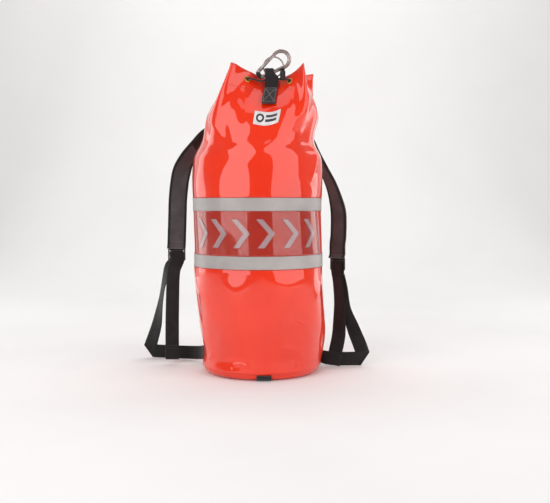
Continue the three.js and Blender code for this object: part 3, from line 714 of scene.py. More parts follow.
def build_base():
    outline = [
        (0.02, 0), (108, 0), (116, 2), (121.5, 7), (123.2, 13), (121.6, 24),
        (119.8, 24), (121.2, 14), (119.4, 8.6), (114.6, 5), (107, 3.6), (0.02, 3.6),
    ]
    profile = []
    for (r0, z0), (r1, z1) in zip(outline, outline[1:]):
        steps = max(2, int(math.hypot(r1 - r0, z1 - z0) / 2.2))
        shares = [t / steps for t in range(steps)]
        profile += [(r0 + (r1 - r0) * t, z0 + (z1 - z0) * t) for t in shares]
    profile.append(outline[-1])

    def place(p):
        x, y, z = p[0] + BASE_CENTRE, p[1], p[2]
        groove = abs(x - HANDLE_X) < HANDLE_WIDTH / 2 + 0.6 and y < -33
        return (x, y, max(z, HANDLE_GROOVE) if groove else z)

    put(lathe("base_panel_red", profile, RED, 180, place), "root", "red_pvc", "base_panel")
    angle = np.linspace(0.18, 2 * math.pi - 0.18, 600)
    x, y = BASE_STITCH_RADIUS * np.sin(angle), -BASE_STITCH_RADIUS * np.cos(angle)
    ring = np.stack([BASE_CENTRE + x, y, np.full(600, 0.2)], 1)
    sew("base_stitches", "root", "red_pvc", ring, (0, 0, -1), THREAD_RED, 4.2, 3.0, 0.55, 0.2)
    route = [(HANDLE_X, *rest) for rest in (
        (-34, 1.1, 0, 0, -1), (-70, 1.1, 0, 0, -1), (-100, 1.1, 0, 0, -1), (-112, 1.1, 0, 0, -1),
        (-118.4, 1.9, 0, -0.6, -0.8), (-123.4, 6.6, 0, -0.8, -0.6), (-125.6, 11.8, 0, -1, -0.2),
    )]
    handle = ribbon("handle_webbing", *strip_frames(route, 60), HANDLE_WIDTH, WEBBING_THICK, BLACK)
    put(handle, "root", "black_webbing", "base_handle")


# Reflective bands and the insert between them

TAPE = 25
LOWER_BAND = 223.5
UPPER_BAND = 338.5
INSERT_EDGE = 9 / 48
WELT = 0.0032
MARK_ANGLES = (-53, -33, -13, 8, 30, 52)
MARK_WIDTH = 36
MARK_STROKE = 13
MARK_LOW = 265.5
MARK_HIGH = 322
MARK_RADIUS = 136
MARK_ROWS = 41
MARK_COLUMNS = 9


def build_bands():
    for side, low in (("lower", LOWER_BAND), ("upper", UPPER_BAND)):
        tape = full_band(f"{side}_band_tape", (low, low + TAPE), 14, 0.2, 1.1, BAND)
        put(tape, "root", "reflective_tape", f"{side}_reflective_band")
        for edge, level in (("low", low - 1.4), ("high", low + TAPE + 1.4)):
            name = f"{side}_band_stitches_{edge}"
            sew(name, "root", "reflective_tape", *bag_line(level, 0.4), THREAD_DEEP, 3.8, 2.5, 0.7, 0.4)


def chevron(name, angle):
    """A mark pointing towards +X."""
    middle, half = (MARK_LOW + MARK_HIGH) / 2, (MARK_HIGH - MARK_LOW) / 2
    levels = np.linspace(MARK_HIGH, MARK_LOW, MARK_ROWS)
    point = (1 - np.abs(levels - middle) / half) * (MARK_WIDTH - MARK_STROKE)
    across = (-MARK_WIDTH / 2 + point)[:, None] + np.linspace(0, MARK_STROKE, MARK_COLUMNS)
    u = angle / 360 + across / (2 * math.pi * MARK_RADIUS)
    level = np.repeat(levels[:, None], 2 * MARK_COLUMNS, 1)
    offsets = np.repeat((1.7, 1.2), MARK_COLUMNS)
    return on_skin(name, np.concatenate([u, u[:, ::-1]], 1), level, offsets, MARK)


def build_insert():
    levels = (LOWER_BAND + TAPE + 0.5, UPPER_BAND - 0.5)
    for name, inner, outer, material, slot, node in (
        ("insert_cloth", 0.2, 0.8, RED_DEEP, "insert_red", "window_backing"),
        ("insert_cover", 2.3, 2.7, COVER, "clear_vinyl", "window_cover"),
    ):
        piece = band(name, (-INSERT_EDGE, INSERT_EDGE), levels, (170, 34), inner, outer, material)
        put(piece, "root", slot, node)
    for k, angle in enumerate(MARK_ANGLES):
        put(chevron(f"mark_{k + 1}", angle), "root", "reflective_tape", f"chevron_{k + 1}")
    for side, ends in (
        ("left", (-INSERT_EDGE, -INSERT_EDGE + WELT)), ("right", (INSERT_EDGE - WELT, INSERT_EDGE)),
    ):
        welt = band(f"insert_welt_{side}", ends, levels, (8, 30), 2.75, 3.2, MARK)
        put(welt, "root", "reflective_tape")


# Label with a plain mark: a ring beside two bars

def on_label(share, height):
    """Girth share and level of a place on the label, given as 0 to 1 across it and up it."""
    u = -0.02 + 0.067 * share
    sag = 5 * (1 - (2 * share - 1) ** 2)
    return u - 0.0015 + 0.003 * (1 - height), 508.5 + 27 * height + 60 * u - sag


def build_label():
    grid = np.meshgrid(np.linspace(0, 1, 34), np.linspace(0, 1, 18), indexing="ij")
    cloth = shell("label_cloth", *on_label(*grid), 0.4, 0.95, LABEL)
    put(cloth, "root", "label_white", "maker_label")
    angles = np.linspace(0, 2 * math.pi, 41)[:-1]
    ring = [(0.24 + r * 0.5 * math.cos(a), 0.5 + r * math.sin(a)) for a in angles for r in (0.32, 0.17)]
    flats = [(ring, grid_faces(40, 2, True).tolist())]
    for low, high in ((0.57, 0.77), (0.24, 0.44)):
        bar = [(x, y) for x in np.linspace(0.46, 0.88, 14) for y in (low, high)]
        flats.append((bar, grid_faces(14, 2).tolist()))
    parts = []
    for flat, faces in flats:
        u, level = on_label(*np.array(flat).T)
        points = np.vstack([skin(u, level, 1.2), skin(u, level, 0.85)])
        under = [[i + len(flat) for i in face[::-1]] for face in faces]
        parts.append((points, faces + under))
    put(join_meshes("label_mark", parts, LABEL_MARK), "root", "label_white")
    corners = ((0.03, 0.07), (0.97, 0.07), (0.97, 0.93), (0.03, 0.93), (0.03, 0.07))
    sides = [np.linspace(a, b, n) for a, b, n in zip(corners, corners[1:], (40, 14, 40, 15))]
    u, level = on_label(*np.concatenate(sides).T)
    line = skin(u, level, 0.95) / MM
    sew("label_stitches", "root", "label_white", line, loft_normal(u, level), THREAD_WHITE,
        2.6, 1.8, 0.35, 0.25)


# Eyelets

def frame_at(centre, axis):
    """Maps a point about the z axis to one about the axis through centre."""
    turn = np.array(Vector((0, 0, 1)).rotation_difference(Vector(axis)).to_matrix())
    return lambda p: turn @ p + centre


def build_eyelets():
    inside = HEM_FACES[0] - 0.5
    collar = [
        (4.2, inside - 1.6), (5.4, inside - 1.6), (5.4, 0.3), (7.0, 0.3), (7.25, 0.5), (7.2, 0.85),
        (6.6, 1.25), (5.8, 1.55), (5.0, 1.6), (4.5, 1.35), (4.2, 0.8),
    ]
    washer = [
        (5.6, inside - 0.8), (7.1, inside - 0.8), (7.3, inside - 0.5), (7.2, inside - 0.05),
        (5.6, inside),
    ]
    for k, (centre, axis) in enumerate(zip(EYELET_CENTRES, EYELET_AXES)):
        place = frame_at(centre, axis)
        for name, profile, node in (
            ("eyelet_collar", collar, "eyelet"), ("washer_ring", washer, "eyelet_washer"),
        ):
            piece = lathe(f"{name}_{k + 1}", profile, BRASS, 56, place, closed=True)
            put(piece, "root", "eyelet_brass", f"{node}_{k + 1}")


# Tab

TAB_CENTRE = 20
TAB_WIDTH = 27
TAB_LEAN = 6
TAB_THICK = 1.7
TUNNEL_FRONT = -75
TUNNEL_BACK = -49.5
TUNNEL_TOP = 624
SLANT = 2.2
TAB_FACE = (0, -0.9, 0.44)  # the way its sewn end faces
SEWN_LEVELS = (553, 565, 578, 591)


def wall_behind_tab(level):
    """The wall's foremost place behind the tab at one level."""
    line = loft(np.linspace(-0.02, 0.06, 33), level)
    line = line[np.abs(line[:, 0] - TAB_CENTRE + TAB_LEAN / 2) < (TAB_WIDTH + TAB_LEAN) / 2 + 1]
    return line[np.argmin(line[:, 1])]


def tab_route():
    """The webbing's middle line, up behind, over the tunnel and down in front, as (y, z)."""
    def sewn(levels, shift, lift):
        return [(p[1] - shift, p[2] + lift) for p in map(wall_behind_tab, levels)]

    half = TAB_THICK / 2
    arch = [
        (TUNNEL_BACK - half, TUNNEL_TOP - 4.4), (TUNNEL_BACK - 4, TUNNEL_TOP - half),
        (TUNNEL_FRONT + 5, TUNNEL_TOP - half), (TUNNEL_FRONT + half + 0.5, TUNNEL_TOP - 5.5),
        (TUNNEL_FRONT + half, 602.5),
    ]
    back = sewn((*SEWN_LEVELS, 605, 614, 622, 630, 636), 1.2 + SLANT / 2, 0.0)
    return back + arch + sewn((603, *SEWN_LEVELS[::-1]), 1.2 + SLANT * 1.5, -0.5)


def tab_middle(z):
    return TAB_CENTRE - TAB_LEAN * (1 - smooth(553, 600, z))


def build_tab():
    centres = spline([(0, y, z) for y, z in tab_route()], 170)
    tangent = unit(np.gradient(centres, axis=0))
    gather = smooth(604, 618, centres[:, 2])
    centres[:, 0] = tab_middle(centres[:, 2]) - 5 * gather
    across = np.tile((-1.0, 0.0, 0.0), (len(centres), 1))
    widths = TAB_WIDTH * (1 - 0.34 * gather)
    tab = ribbon("tab_webbing", centres, across, np.cross(across, tangent), widths, TAB_THICK, TAB_WEB)
    put(tab, "root", "black_webbing", "carabiner_tab")

    face = np.array([wall_behind_tab(level) for level in np.linspace(606, 556, 60)])
    depth, height = face[:, 1] - 1.2 - 2 * SLANT - 0.35, face[:, 2] - 0.5

    def on_face(x_share, z_share):
        """A place on the sewn face: x from -1 to 1, and 0 to 1 down it."""
        at = z_share * (len(face) - 1)
        y, z = (np.interp(at, np.arange(len(face)), row) for row in (depth, height))
        return np.stack([tab_middle(z) + x_share * (TAB_WIDTH / 2 - 2.2), y, z], -1)

    t = np.linspace(0, 1, 60)
    still, down = np.ones(60), 0.08 + 0.86 * t
    runs = (
        (2 * t - 1, 0.08 * still), (2 * t - 1, 0.94 * still), (-still, down), (still, down),
        (2 * t - 1, down), (1 - 2 * t, down),
    )
    for k, run in enumerate(runs):
        name = f"tab_stitches_{k + 1}"
        sew(name, "root", "black_webbing", on_face(*run), TAB_FACE, THREAD_PALE, 3.0, 2.2, 0.5, 0.4)


# Snap hook and ring

HOOK_ROD = 3.8
HOOK_ORIGIN = np.array([-5.4, -65.5, 619.5])
HOOK_TILT = math.radians(46.6)
NARROW = (0, -7, 7)  # the two bends, as centre x, centre z and radius
WIDE = (46.7, -16.5, 16.5)
SPINE_ANGLE = math.radians(-113)
PIVOT_X = 6
BINDING_TURNS = 6


def from_hook(p):
    """A point in the hook's own axes, x along its gate, to the bag's."""
    x, y, z = np.asarray(p, float).T
    c, s = math.cos(HOOK_TILT), math.sin(HOOK_TILT)
    return np.stack([x * c - z * s, y, x * s + z * c], -1) + HOOK_ORIGIN


def arc(circle, start, end, steps):
    cx, cz, r = circle
    return [(cx + r * math.cos(a), 0, cz + r * math.sin(a)) for a in np.linspace(start, end, steps)]


def solid_copy(piece, cutters):
    """piece with the cutters taken out of it."""
    for cutter in cutters:
        modifier = piece.modifiers.new("cut", "BOOLEAN")
        modifier.operation = "DIFFERENCE"
        modifier.solver = "EXACT"
        modifier.object = cutter
    evaluated = piece.evaluated_get(bpy.context.evaluated_depsgraph_get())
    mesh = bpy.data.meshes.new_from_object(evaluated)
    piece.modifiers.clear()
    piece.data = mesh
    for cutter in cutters:
        bpy.data.objects.remove(cutter)
    return piece


BOX_FACES = [(0, 1, 3, 2), (4, 6, 7, 5), (0, 4, 5, 1), (2, 3, 7, 6), (0, 2, 6, 4), (1, 5, 7, 3)]


def hook_box(name, x, y, z):
    """A block in the hook's axes."""
    points = [(a, b, c) for a in x for b in y for c in z]
    return new_mesh(name, from_hook(points) * MM, BOX_FACES, STEEL, False)


def soften(piece, width):
    """Rounds a piece's sharp edges, in millimetres."""
    modifier = piece.modifiers.new("edges", "BEVEL")
    modifier.width = width * MM
    modifier.segments = 2
    modifier.limit_method = "ANGLE"
    modifier.angle_limit = math.radians(40)
    modifier.harden_normals = True
    return piece


def build_hook():
    start, end = (np.array(arc(c, SPINE_ANGLE, SPINE_ANGLE, 1)[0]) for c in (WIDE, NARROW))
    spine = [tuple(start + (end - start) * t) for t in (0.25, 0.5, 0.75)]
    route = [(43.1, 0, 0)] + arc(WIDE, math.pi / 2, SPINE_ANGLE, 24) + spine
    route += arc(NARROW, SPINE_ANGLE, -1.5 * math.pi, 16) + [(3, 0, 0), (8.6, 0, 0)]
    rod = tube("hook_frame", from_hook(spline(route, 150)), HOOK_ROD, STEEL, 24)
    cuts = [hook_box("cutter", (1.5, 12), y, (-5, 5)) for y in ((1.3, 9), (-9, -1.3))]
    cuts.append(hook_box("cutter", (41, 46.9), (-1.5, 1.5), (-6, 6)))
    put(soften(solid_copy(rod, cuts), 0.25), "carabiner", "steel", "carabiner_frame")

    steps = 130
    t = np.linspace(0, 1, steps)
    angle = np.radians(-141 - 95 * t)
    outward = np.stack([np.cos(angle), np.zeros(steps), np.sin(angle)], 1)
    middle = NARROW[2] * outward + np.array([0, 0, NARROW[1]])
    spin = 2 * math.pi * BINDING_TURNS * t[:, None]
    coils = middle + 4.2 * (np.cos(spin) * outward + np.sin(spin) * np.array([0.0, 1.0, 0.0]))
    binding = tube("hook_binding", from_hook(coils), 0.75, BLACK, 10)
    put(binding, "carabiner", "black_webbing", "hook_wrap")
    core = tube("hook_binding_core", from_hook(middle[4:-4]), 4.35, BLACK, 24)
    put(core, "carabiner", "black_webbing")

    profile = [(0.02, 3.4), (2.6, 3.4), (3.2, 4.2), (3.2, 41.6), (2.7, 42.6), (0.02, 42.7)]
    gate = lathe("gate_bar", profile, STEEL, 28, lambda p: from_hook((p[2], p[1], -p[0])))
    fork = hook_box("cutter", (0, PIVOT_X + 4.9), (-1.6, 1.6), (-6, 6))
    put(soften(solid_copy(gate, [fork]), 0.25), "gate", "steel", "carabiner_gate")
    blade = hook_box("gate_blade", (42.2, 46.2), (-1.1, 1.1), (-2, 2))
    put(soften(blade, 0.3), "gate", "steel")
    half = [(0.02, -3.3), (1.3, -3.3), (1.6, -3.1), (1.6, -2.9), (1.0, -2.9)]
    profile = half + [(r, -z) for r, z in half[::-1]]
    rivet = lathe("gate_rivet", profile, STEEL, 28, lambda p: from_hook((PIVOT_X + p[0], p[2], p[1])))
    put(rivet, "carabiner", "steel", "gate_pin")


RING_CENTRE = np.array([23.5, -59.8, 628])
RING_RADIUS = 20
RING_WIRE = 1.5


def build_ring():
    angles = np.linspace(0, 2 * math.pi, 121)[:-1]
    line = RING_CENTRE + RING_RADIUS * np.stack([np.cos(angles), np.zeros(120), np.sin(angles)], 1)
    put(tube("ring_wire", line, RING_WIRE, STEEL, 18, looped=True), "ring", "steel", "tab_ring")


# Cord lock and drawcord

LOCK_CENTRE = np.array([42, -73.6, 608.5])
LOCK_TURN = math.radians(-23)
SPRING_TURNS = 2


def turned(angle, origin):
    """Maps points turned about their own z axis to the bag's."""
    c, s = math.cos(angle), math.sin(angle)

    def place(p):
        x, y, z = np.asarray(p, float).T
        return np.stack([x * c - y * s, x * s + y * c, z], -1) + np.array(origin, float)

    return place


def build_cord_lock():
    place = turned(LOCK_TURN, LOCK_CENTRE)
    barrel = [(0.02, -9), (4.3, -9), (5.1, -8.7), (5.5, -8)]
    for z in np.arange(-2.5, 6.6, 1.8):
        barrel += [(5.5, z - 0.5), (5.2, z - 0.3), (5.2, z + 0.1), (5.5, z + 0.3)]
    barrel += [(5.5, 8), (5.2, 8.7), (4.6, 9), (4.1, 8.9), (4.1, -1), (0.02, -1)]
    body = lathe("lock_barrel", barrel, PLASTIC, 48, place)
    channel = lathe("cutter", [(0.02, -9), (3, -9), (3, 9), (0.02, 9)], PLASTIC, 24,
                    lambda p: place((p[2], p[1], -6 - p[0])))
    put(solid_copy(body, [channel]), "cord_lock", "black_plastic", "cord_lock_body")
    button = [
        (0.02, 4.5), (3.7, 4.5), (3.7, 12), (4.1, 12.1), (4.2, 12.4), (4.2, 13.8), (3.9, 14.6),
        (3.2, 15), (2.6, 14.8), (0.02, 14.7),
    ]
    cap = lathe("lock_button_cap", button, PLASTIC, 48, place)
    put(cap, "lock_button", "black_plastic", "cord_lock_button")
    turn = np.linspace(0, SPRING_TURNS, 65)
    angle = turn * 2 * math.pi
    helix = np.stack([2.6 * np.cos(angle), 2.6 * np.sin(angle), turn * 2.15 - 0.45], -1)
    spring = tube("lock_spring_coil", place(helix), 0.35, STEEL, 12)
    put(spring, "cord_lock", "steel", "cord_lock_spring")
    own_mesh(spring)


CORD_RADIUS = 2.0


def drawcord_route():
    def through(k, first, last):
        return [tuple(EYELET_CENTRES[k] + EYELET_AXES[k] * d) for d in (first, -WALL, last)]

    out, inside = 5, -10
    return [
        (24, -65.3, 602), (10, -65.6, 601), (-3, -68.8, 598.8),
        *through(7, out, inside), *through(6, inside, out), (-63, 0, 606),
        *through(5, out, inside), *through(4, inside, out), (11, 74, 606),
        *through(3, out, inside), *through(2, inside, out), (78, 0, 606),
        *through(1, out, inside), *through(0, inside, out),
        (46, -75.4, 602.5), (39, -72.4, 602.5), (33, -70, 602.2), (25, -69.4, 602), (15, -69.4, 602),
    ]


def build_drawcord():
    path = spline(drawcord_route(), 620, knots=0.5)
    cord = tube("drawcord_braid", path, CORD_RADIUS, CORD_DARK, 14)
    put(cord, "root", "cord_dark", "drawcord")
    path = path * MM
    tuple(path[0])
    run_length(path)[-1]


# Shoulder straps: a padded upper strap, a ladder lock, and webbing that folds at the floor.
# A strip's points are its place and the direction of its face.

LEFT = {
    "side": "left",
    "turn": 0.0,
    "lock": (-189, 60, 242),
    "face": -1,
    "pad": [
        (-24, 125, 520, 0, 1, 0), (-62, 122, 518, -0.25, 0.97, 0), (-100, 105, 511, -0.55, 0.83, 0),
        (-127, 83, 497, -0.8, 0.6, 0), (-148, 71, 474, -0.85, 0.53, 0), (-168, 62, 446, -0.7, 0.7, 0),
        (-179, 60, 415, -0.2, 0.98, 0), (-185, 60, 368, 0, 1, 0), (-187, 60, 320, 0, 1, 0),
        (-189, 60, 265, 0, 1, 0),
    ],
    "floor": [
        (-124, 46, 30, -0.94, 0.34, 0), (-127.5, 62, 26, -0.97, -0.2, 0),
        (-140, 84, 20, -0.75, -0.66, 0), (-166, 102, 17, -0.4, -0.92, 0),
        (-205, 116, 15.9, -0.25, -0.97, 0), (-236, 124, 15.9, -0.2, -0.98, 0),
        (-263, 130, 15.9, -0.2, -0.98, 0),
    ],
    "rise": [
        (-263, 130, 15.9, -0.25, -0.97, 0), (-258, 127, 31, -0.25, -0.97, 0),
        (-252, 122.5, 48, -0.4, -0.92, 0), (-241, 112, 82, -0.6, -0.8, 0),
        (-230, 97, 135, -0.9, -0.44, 0), (-220, 84, 182, -0.9, -0.44, 0),
        (-206, 73, 212, -0.5, -0.87, 0),
    ],
    "tail": [
        (-196, 55, 200, 0.2, 0.98, 0), (-199, 55, 120, 0.1, 1, 0), (-200, 56, 60, 0, 1, 0),
        (-200, 57, 10, 0, 1, 0),
    ],
}

RIGHT = {
    "side": "right",
    "turn": math.radians(-40),
    "lock": (164, 60, 221),
    "face": 1,
    "pad": [
        (8, 125, 520, 0, 1, 0), (44, 121, 516, 0.3, 0.95, 0), (78, 106, 504, 0.6, 0.8, 0),
        (101, 86, 485, 0.85, 0.5, 0), (117, 73, 458, 0.95, 0.3, 0), (136, 64, 423, 0.96, 0.28, 0),
        (150, 60, 393, 0.9, 0.43, 0), (160, 60, 362, 0.8, 0.6, 0), (166, 60, 330, 0.66, 0.75, 0),
        (166, 60, 285, 0.64, 0.77, 0), (164, 60, 264, 0.64, 0.77, 0), (164, 60, 244, 0.64, 0.77, 0),
    ],
    "floor": [
        (113, 60, 30, 0.9, 0.44, 0), (121.5, 45, 26, 0.97, 0.24, 0), (131, 36, 20, 0.7, 0.7, 0),
        (150, 32, 17, 0.15, 0.99, 0), (178, 33, 15.9, 0, 1, 0), (200, 35, 15.9, 0, 1, 0),
        (222, 37, 15.9, 0, 1, 0),
    ],
    "rise": [
        (222, 37, 15.9, 0, 1, 0), (216.5, 38.5, 31, 0, 1, 0), (211, 41, 47, 0.1, 1, 0),
        (199, 46, 77, 0.4, 0.92, 0), (184, 56, 120, 0.8, 0.6, 0), (176, 63, 165, 0.75, 0.66, 0),
        (168, 66, 195, 0.64, 0.77, 0),
    ],
    "tail": [
        (164, 54, 180, -0.75, -0.66, 0), (167, 50, 130, -0.7, -0.7, 0), (166, 43, 70, -0.3, -0.95, 0),
        (158, 35, 30, -0.15, -0.98, 0.1), (152, 29, 3, -0.1, -0.98, 0.15),
    ],
}

LEG_OFFSET = 3.5  # from the ladder lock's middle plane to the webbing's
FOLD_REACH = 19
FOLD_APART = 0.9
FACE_START = 62  # the row where the pad's plain upper part ends
BACK_OFFSET = 0.9
BACK_THICK = 1.2
FACE_OFFSET = 1.5
FACE_THICK = 2.6
BINDING_WIDTH = 5.2
EDGE_WIDTH = 4.4
STITCH_INSET = 4.2
PAD_OVERHANG = 11
PAD_FLARE = 5
PAD_TILT = 1.2
OVERHANG_ROWS = 15


def over_the_bar(strap):
    """The webbing's turn over the ladder lock's middle bar, as a strip's points."""
    f = strap["face"]
    place, lock = turned(strap["turn"], strap["lock"]), np.array(strap["lock"], float)
    legs = [
        (LEG_OFFSET, -16, f, 0), (LEG_OFFSET, 0, f, 0), (2.6, 5.4, f, f), (0, 6.9, 0, f),
        (-2.6, 5.4, -f, f), (-LEG_OFFSET, 0, -f, 0), (-LEG_OFFSET, -16, -f, 0),
    ]
    return [(*place((0, y, z)), *(place((0, out_y, out_z)) - lock)) for y, z, out_y, out_z in legs]


def folded_rows(rows, fold, slant, at_end):
    """Rows of a strip that ends in the slanted line of a fold, and how much wider each row is."""
    centres, across, faces = rows
    keep = np.linalg.norm(centres - fold, axis=1) > FOLD_REACH
    centres, across, faces = centres[keep], across[keep], faces[keep]
    edge = -1 if at_end else 0
    slant = unit(slant)
    if np.dot(slant, across[edge]) < 0:
        slant = -slant
    steps = np.linspace(0, 1, 8)[1:]
    if not at_end:
        steps = steps[::-1]
    lean = [unit(across[edge] * (1 - t) + slant * t) for t in steps]
    middle = [centres[edge] * (1 - t) + fold * t for t in steps]
    wider = [1 / max(abs(np.dot(a, across[edge])), 0.4) for a in lean]
    end = (middle, lean, [faces[edge]] * len(steps), wider)
    rest = (centres, across, faces, np.ones(len(centres)))
    return [np.concatenate([a, b] if at_end else [b, a]) for a, b in zip(rest, end)]


def build_lower_webbing(strap):
    side, body = strap["side"], f"strap_{strap['side']}"
    floor_rows = strip_frames(strap["floor"], 90)
    rise_rows = strip_frames(strap["rise"] + over_the_bar(strap) + strap["tail"], 260)
    fold = np.array(strap["floor"][-1][:3], float)
    along = unit(floor_rows[0][-1] - floor_rows[0][-4])
    slant = along + unit(rise_rows[0][12] - rise_rows[0][0])
    for name, rows, at_end, lift in (
        ("floor", floor_rows, True, -FOLD_APART), ("rise", rise_rows, False, FOLD_APART),
    ):
        centres, across, faces, wider = folded_rows(rows, fold, slant, at_end)
        near = np.exp(-np.linalg.norm(centres - fold, axis=1) / 22)
        centred = centres + np.outer(lift * near, (0, 1, 0))
        name = f"webbing_{name}_{side}"
        piece = ribbon(name, centred, across, faces, WEBBING * wider, WEBBING_THICK, BLACK)
        put(piece, body, "black_webbing", f"lower_webbing_{side}")

    edge = fold + unit(slant) * np.linspace(-17.5, 17.5, 12)[:, None]
    put(tube(f"webbing_fold_{side}", edge, 1.7, BLACK, 12), body, "black_webbing")

    for k, row in enumerate((-14, -17)):
        line = centres[row] + across[row] * np.linspace(-13, 13, 24)[:, None]
        for facing, sign in (("front", 1), ("back", -1)):
            outward = faces[row] * sign
            sew(f"tail_stitches_{side}_{k + 1}_{facing}", body, "black_webbing",
                line + outward * WEBBING_THICK / 2, outward, THREAD_DARK, *STRAP_STITCH)


def over_the_lock(centres, across, faces):
    """A pad's face runs on past its backing, and stands off in front of the ladder lock's top."""
    down = unit(centres[-1] - centres[-4])
    steps = np.linspace(0, 1, OVERHANG_ROWS + 1)[1:, None]
    further = centres[-1] + down * PAD_OVERHANG * steps - faces[-1] * PAD_FLARE * steps ** 1.5
    tilted = unit(faces[-1] + down * PAD_FLARE / PAD_OVERHANG * PAD_TILT * steps)
    level = np.tile(across[-1], (OVERHANG_ROWS, 1))
    return [np.concatenate(pair) for pair in ((centres, further), (across, level), (faces, tilted))]


def build_pad(strap):
    side, body, slot = strap["side"], f"strap_{strap['side']}", "black_webbing"
    centres, across, faces = strip_frames(strap["pad"], 150)
    middle = centres + faces * BACK_OFFSET
    back = ribbon(f"pad_back_{side}", middle, across, faces, PAD_WIDTH - 0.6, BACK_THICK, BLACK)
    put(back, body, slot, f"shoulder_backing_{side}")
    centres, across, faces = over_the_lock(centres, across, faces)
    middle = centres - faces * FACE_OFFSET
    for name, part, material, finish in (
        (f"pad_top_{side}", slice(0, FACE_START + 1), BLACK, slot),
        (f"pad_face_{side}", slice(FACE_START, None), PAD, "strap_face"),
    ):
        rows = (middle[part], across[part], faces[part])
        front = ribbon(name, *rows, PAD_WIDTH - 1.2, FACE_THICK, material, 1.1)
        put(front, body, finish, f"shoulder_pad_{side}")
    for k, row in enumerate((-4, -18, FACE_START + 2)):
        line = centres[row] - faces[row] * 2.9 + across[row] * np.linspace(-14.5, 14.5, 30)[:, None]
        name = f"pad_end_stitches_{side}_{k + 1}"
        sew(name, body, slot, line, -faces[row], THREAD_PAD, *STRAP_STITCH)
    for edge, sign in (("inner", -1), ("outer", 1)):
        end = f"{edge}_{side}"
        binding = centres + across * (sign * (PAD_WIDTH - BINDING_WIDTH) / 2) - faces * 3.0
        rim = centres + across * sign * (PAD_WIDTH / 2 - 0.3) - faces * 0.9
        for piece in (
            ribbon(f"pad_binding_{end}", binding, across, faces, BINDING_WIDTH, 0.8, BLACK, 0.3),
            ribbon(f"pad_edge_{end}", rim, faces, across, EDGE_WIDTH, 0.7, BLACK, 0.25),
        ):
            put(piece, body, slot)
        line = centres + across * sign * (PAD_WIDTH / 2 - STITCH_INSET)
        front, behind = (line - faces * 3.4)[5:], line + faces * 1.5
        sew(f"pad_stitches_{end}", body, slot, front, -faces[5:], THREAD_DARK, *PAD_STITCH)
        sew(f"pad_back_stitches_{end}", body, slot, behind, faces, THREAD_DARK, *PAD_STITCH)


def outline_plate(name, outlines, thickness, rounding, material, place):
    """A plate in x and z with holes, its edges rounded."""
    curve = bpy.data.curves.new(name, "CURVE")
    curve.dimensions = "2D"
    curve.fill_mode = "BOTH"
    curve.extrude = (thickness / 2 - rounding) * MM
    curve.bevel_depth = rounding * MM
    curve.bevel_resolution = 3
    curve.offset = -rounding * MM
    for points in outlines:
        line = curve.splines.new("POLY")
        line.points.add(len(points) - 1)
        for target, (x, z) in zip(line.points, points):
            target.co = (x * MM, z * MM, 0, 1)
        line.use_cyclic_u = True
    flat = add_object(name, curve)
    evaluated = flat.evaluated_get(bpy.context.evaluated_depsgraph_get())
    mesh = bpy.data.meshes.new_from_object(evaluated)
    bpy.data.objects.remove(flat)
    for vertex in mesh.vertices:
        x, z, y = (c / MM for c in vertex.co)
        vertex.co = Vector(place((x, -y, z)) * MM)
    mesh.materials.clear()
    mesh.materials.append(material)
    mesh.polygons.foreach_set("use_smooth", [True] * len(mesh.polygons))
    return add_object(name, mesh)


def rounded_rectangle(x, z, radius):
    points = []
    corners = ((x[1], z[1], -1, -1), (x[0], z[1], 1, -1), (x[0], z[0], 1, 1), (x[1], z[0], -1, 1))
    for k, (cx, cz, in_x, in_z) in enumerate(corners):
        for a in np.radians(np.linspace(90 * k, 90 * k + 90, 6)):
            points.append((cx + radius * (in_x + math.cos(a)), cz + radius * (in_z + math.sin(a))))
    return points


LOOP_REACH = 2.4
LOOP_THICK = 1.5


def build_buckle(strap):
    side, body = strap["side"], f"strap_{strap['side']}"
    place = turned(strap["turn"], strap["lock"])
    outlines = [
        rounded_rectangle(*shape) for shape in
        (((-19, 19), (-14, 14), 2.5), ((-15.8, 15.8), (4, 10.5), 0.8), ((-15.8, 15.8), (-9, 1), 0.8))
    ]
    plate = outline_plate(f"ladder_frame_{side}", outlines, 4.0, 0.5, PLASTIC, place)
    put(plate, body, "black_plastic", f"ladder_lock_{side}")

    pad_end, leg = strap["pad"][-1][2] - strap["lock"][2], LOOP_REACH + LOOP_THICK / 2
    around = [
        (-0.6, pad_end - 2.0), (-leg + 0.3, 17.5), (-leg, 12), (-leg + 0.2, 9.3), (-1.2, 8.35),
        (1.2, 8.35), (leg - 0.2, 9.3), (leg, 12), (leg, 18), (leg, pad_end + 6), (leg, pad_end + 24),
    ]
    path = spline([(0, y, z) for y, z in around], 90)
    across = np.tile((1.0, 0.0, 0.0), (90, 1))
    normals = np.cross(across, unit(np.gradient(path, axis=0)))
    origin = place((0, 0, 0))
    loop = ribbon(f"loop_webbing_{side}", place(path), place(across) - origin, place(normals) - origin,
                  WEBBING, LOOP_THICK, BLACK)
    put(loop, body, "black_webbing", f"buckle_loop_{side}")
    for k, z in enumerate((pad_end + 3, pad_end + 20)):
        line = place([(x, LOOP_REACH + LOOP_THICK + 0.05, z) for x in np.linspace(-13, 13, 30)])
        sew(f"loop_stitches_{side}_{k + 1}", body, "black_webbing", line, place((0, 1, 0)) - origin,
            THREAD_DARK, *STRAP_STITCH)


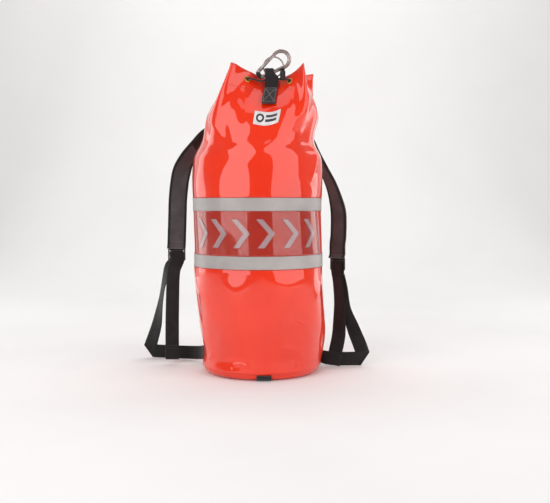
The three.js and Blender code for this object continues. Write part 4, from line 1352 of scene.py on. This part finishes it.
def build_anchors():
    inset = 0.0035
    for name, node, (start, end), (low, high), offsets in (
        ("anchor_webbing_top", "strap_anchor_patch", (22 / 48, 27 / 48), (483, 540), (0.4, 1.4)),
        ("anchor_webbing_left", "base_anchor_left", (0.675, 0.72), (15, 46), (1.0, 2.0)),
        ("anchor_webbing_right", "base_anchor_right", (0.285, 0.345), (15, 46), (1.0, 2.0)),
    ):
        piece = band(name, (start, end), (low, high), (50, 40), *offsets, BLACK)
        put(piece, "root", "black_webbing", node)
        for k, level in enumerate((low + 2.5, high - 2.5)):
            line = bag_line(level, offsets[1], 160, (start + inset, end - inset))
            sew(f"{name}_stitches_{k + 1}", "root", "black_webbing", *line, THREAD_DARK, 3.2, 2.3)


def finish_kept_nodes():
    """CAD nodes whose shape is right get the detailed materials."""
    for name, material in (("base_stiffener", BOARD), ("gate_spring", STEEL)):
        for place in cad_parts[name].material_slots:
            place.material = material


# Studio: pale floor and soft light from three sides

def add_light(name, location, target, size, power):
    data = bpy.data.lights.new(name, "AREA")
    data.shape = "RECTANGLE"
    data.size, data.size_y = size
    data.energy = power
    lamp = add_object(name, data)
    lamp.location = location
    lamp.rotation_euler = (Vector(target) - Vector(location)).to_track_quat("-Z", "Y").to_euler()


FLOOR_REACH = 3.0
FLOOR_BACK = 1.2
BACKDROP_TURN = 0.8
BACKDROP_TOP = 3.4


def build_studio():
    floor = Material("floor_pale", 0.8)
    floor.vary((247, 246, 245), (244, 243, 242), 3)
    profile = [(-FLOOR_REACH, 0.0), (FLOOR_BACK, 0.0)]
    for a in np.linspace(0.1, math.pi / 2, 24):
        y, z = FLOOR_BACK + BACKDROP_TURN * math.sin(a), BACKDROP_TURN * (1 - math.cos(a))
        profile.append((y, z))
    profile.append((FLOOR_BACK + BACKDROP_TURN, BACKDROP_TOP))
    points = [(x, y, z - 0.0002) for x in (-FLOOR_REACH, FLOOR_REACH) for y, z in profile]
    n = len(profile)
    faces = [(k, n + k, n + k + 1, k + 1) for k in range(n - 1)]
    new_mesh("backdrop", points, faces, floor.data)

    add_light("window_left", (-1.08, -1.36, 0.97), (0, 0, 0.6), (1.45, 1.8), 18)
    add_light("window_right", (1.45, -1.02, 0.97), (0, 0, 0.6), (1.9, 1.8), 19)
    add_light("edge_left", (-1.6, 0.75, 0.7), (0, 0, 0.33), (0.9, 1.5), 7)
    add_light("edge_right", (1.6, 0.95, 0.7), (0, 0, 0.33), (0.6, 1.5), 5)
    add_light("wash_back", (0, 0.9, 2.6), (0, 1.9, 0.5), (2.6, 0.7), 22)
    add_light("wash_floor", (0, -0.6, 2.4), (0, -0.3, 0), (2.2, 1.2), 9)

    world = bpy.data.worlds.new("studio")
    world.use_nodes = True
    background = world.node_tree.nodes["Background"].inputs
    background["Color"].default_value = (1, 1, 1, 1)
    background["Strength"].default_value = 0.2
    bpy.context.scene.world = world
    bpy.context.scene.view_settings.view_transform = "Standard"


for build in (
    build_body, build_base, build_bands, build_insert, build_label, build_eyelets, build_tab, build_hook,
    build_ring, build_cord_lock, build_drawcord,
):
    build()
for each in (LEFT, RIGHT):
    build_pad(each)
    build_buckle(each)
    build_lower_webbing(each)
build_anchors()
finish_kept_nodes()
build_studio()
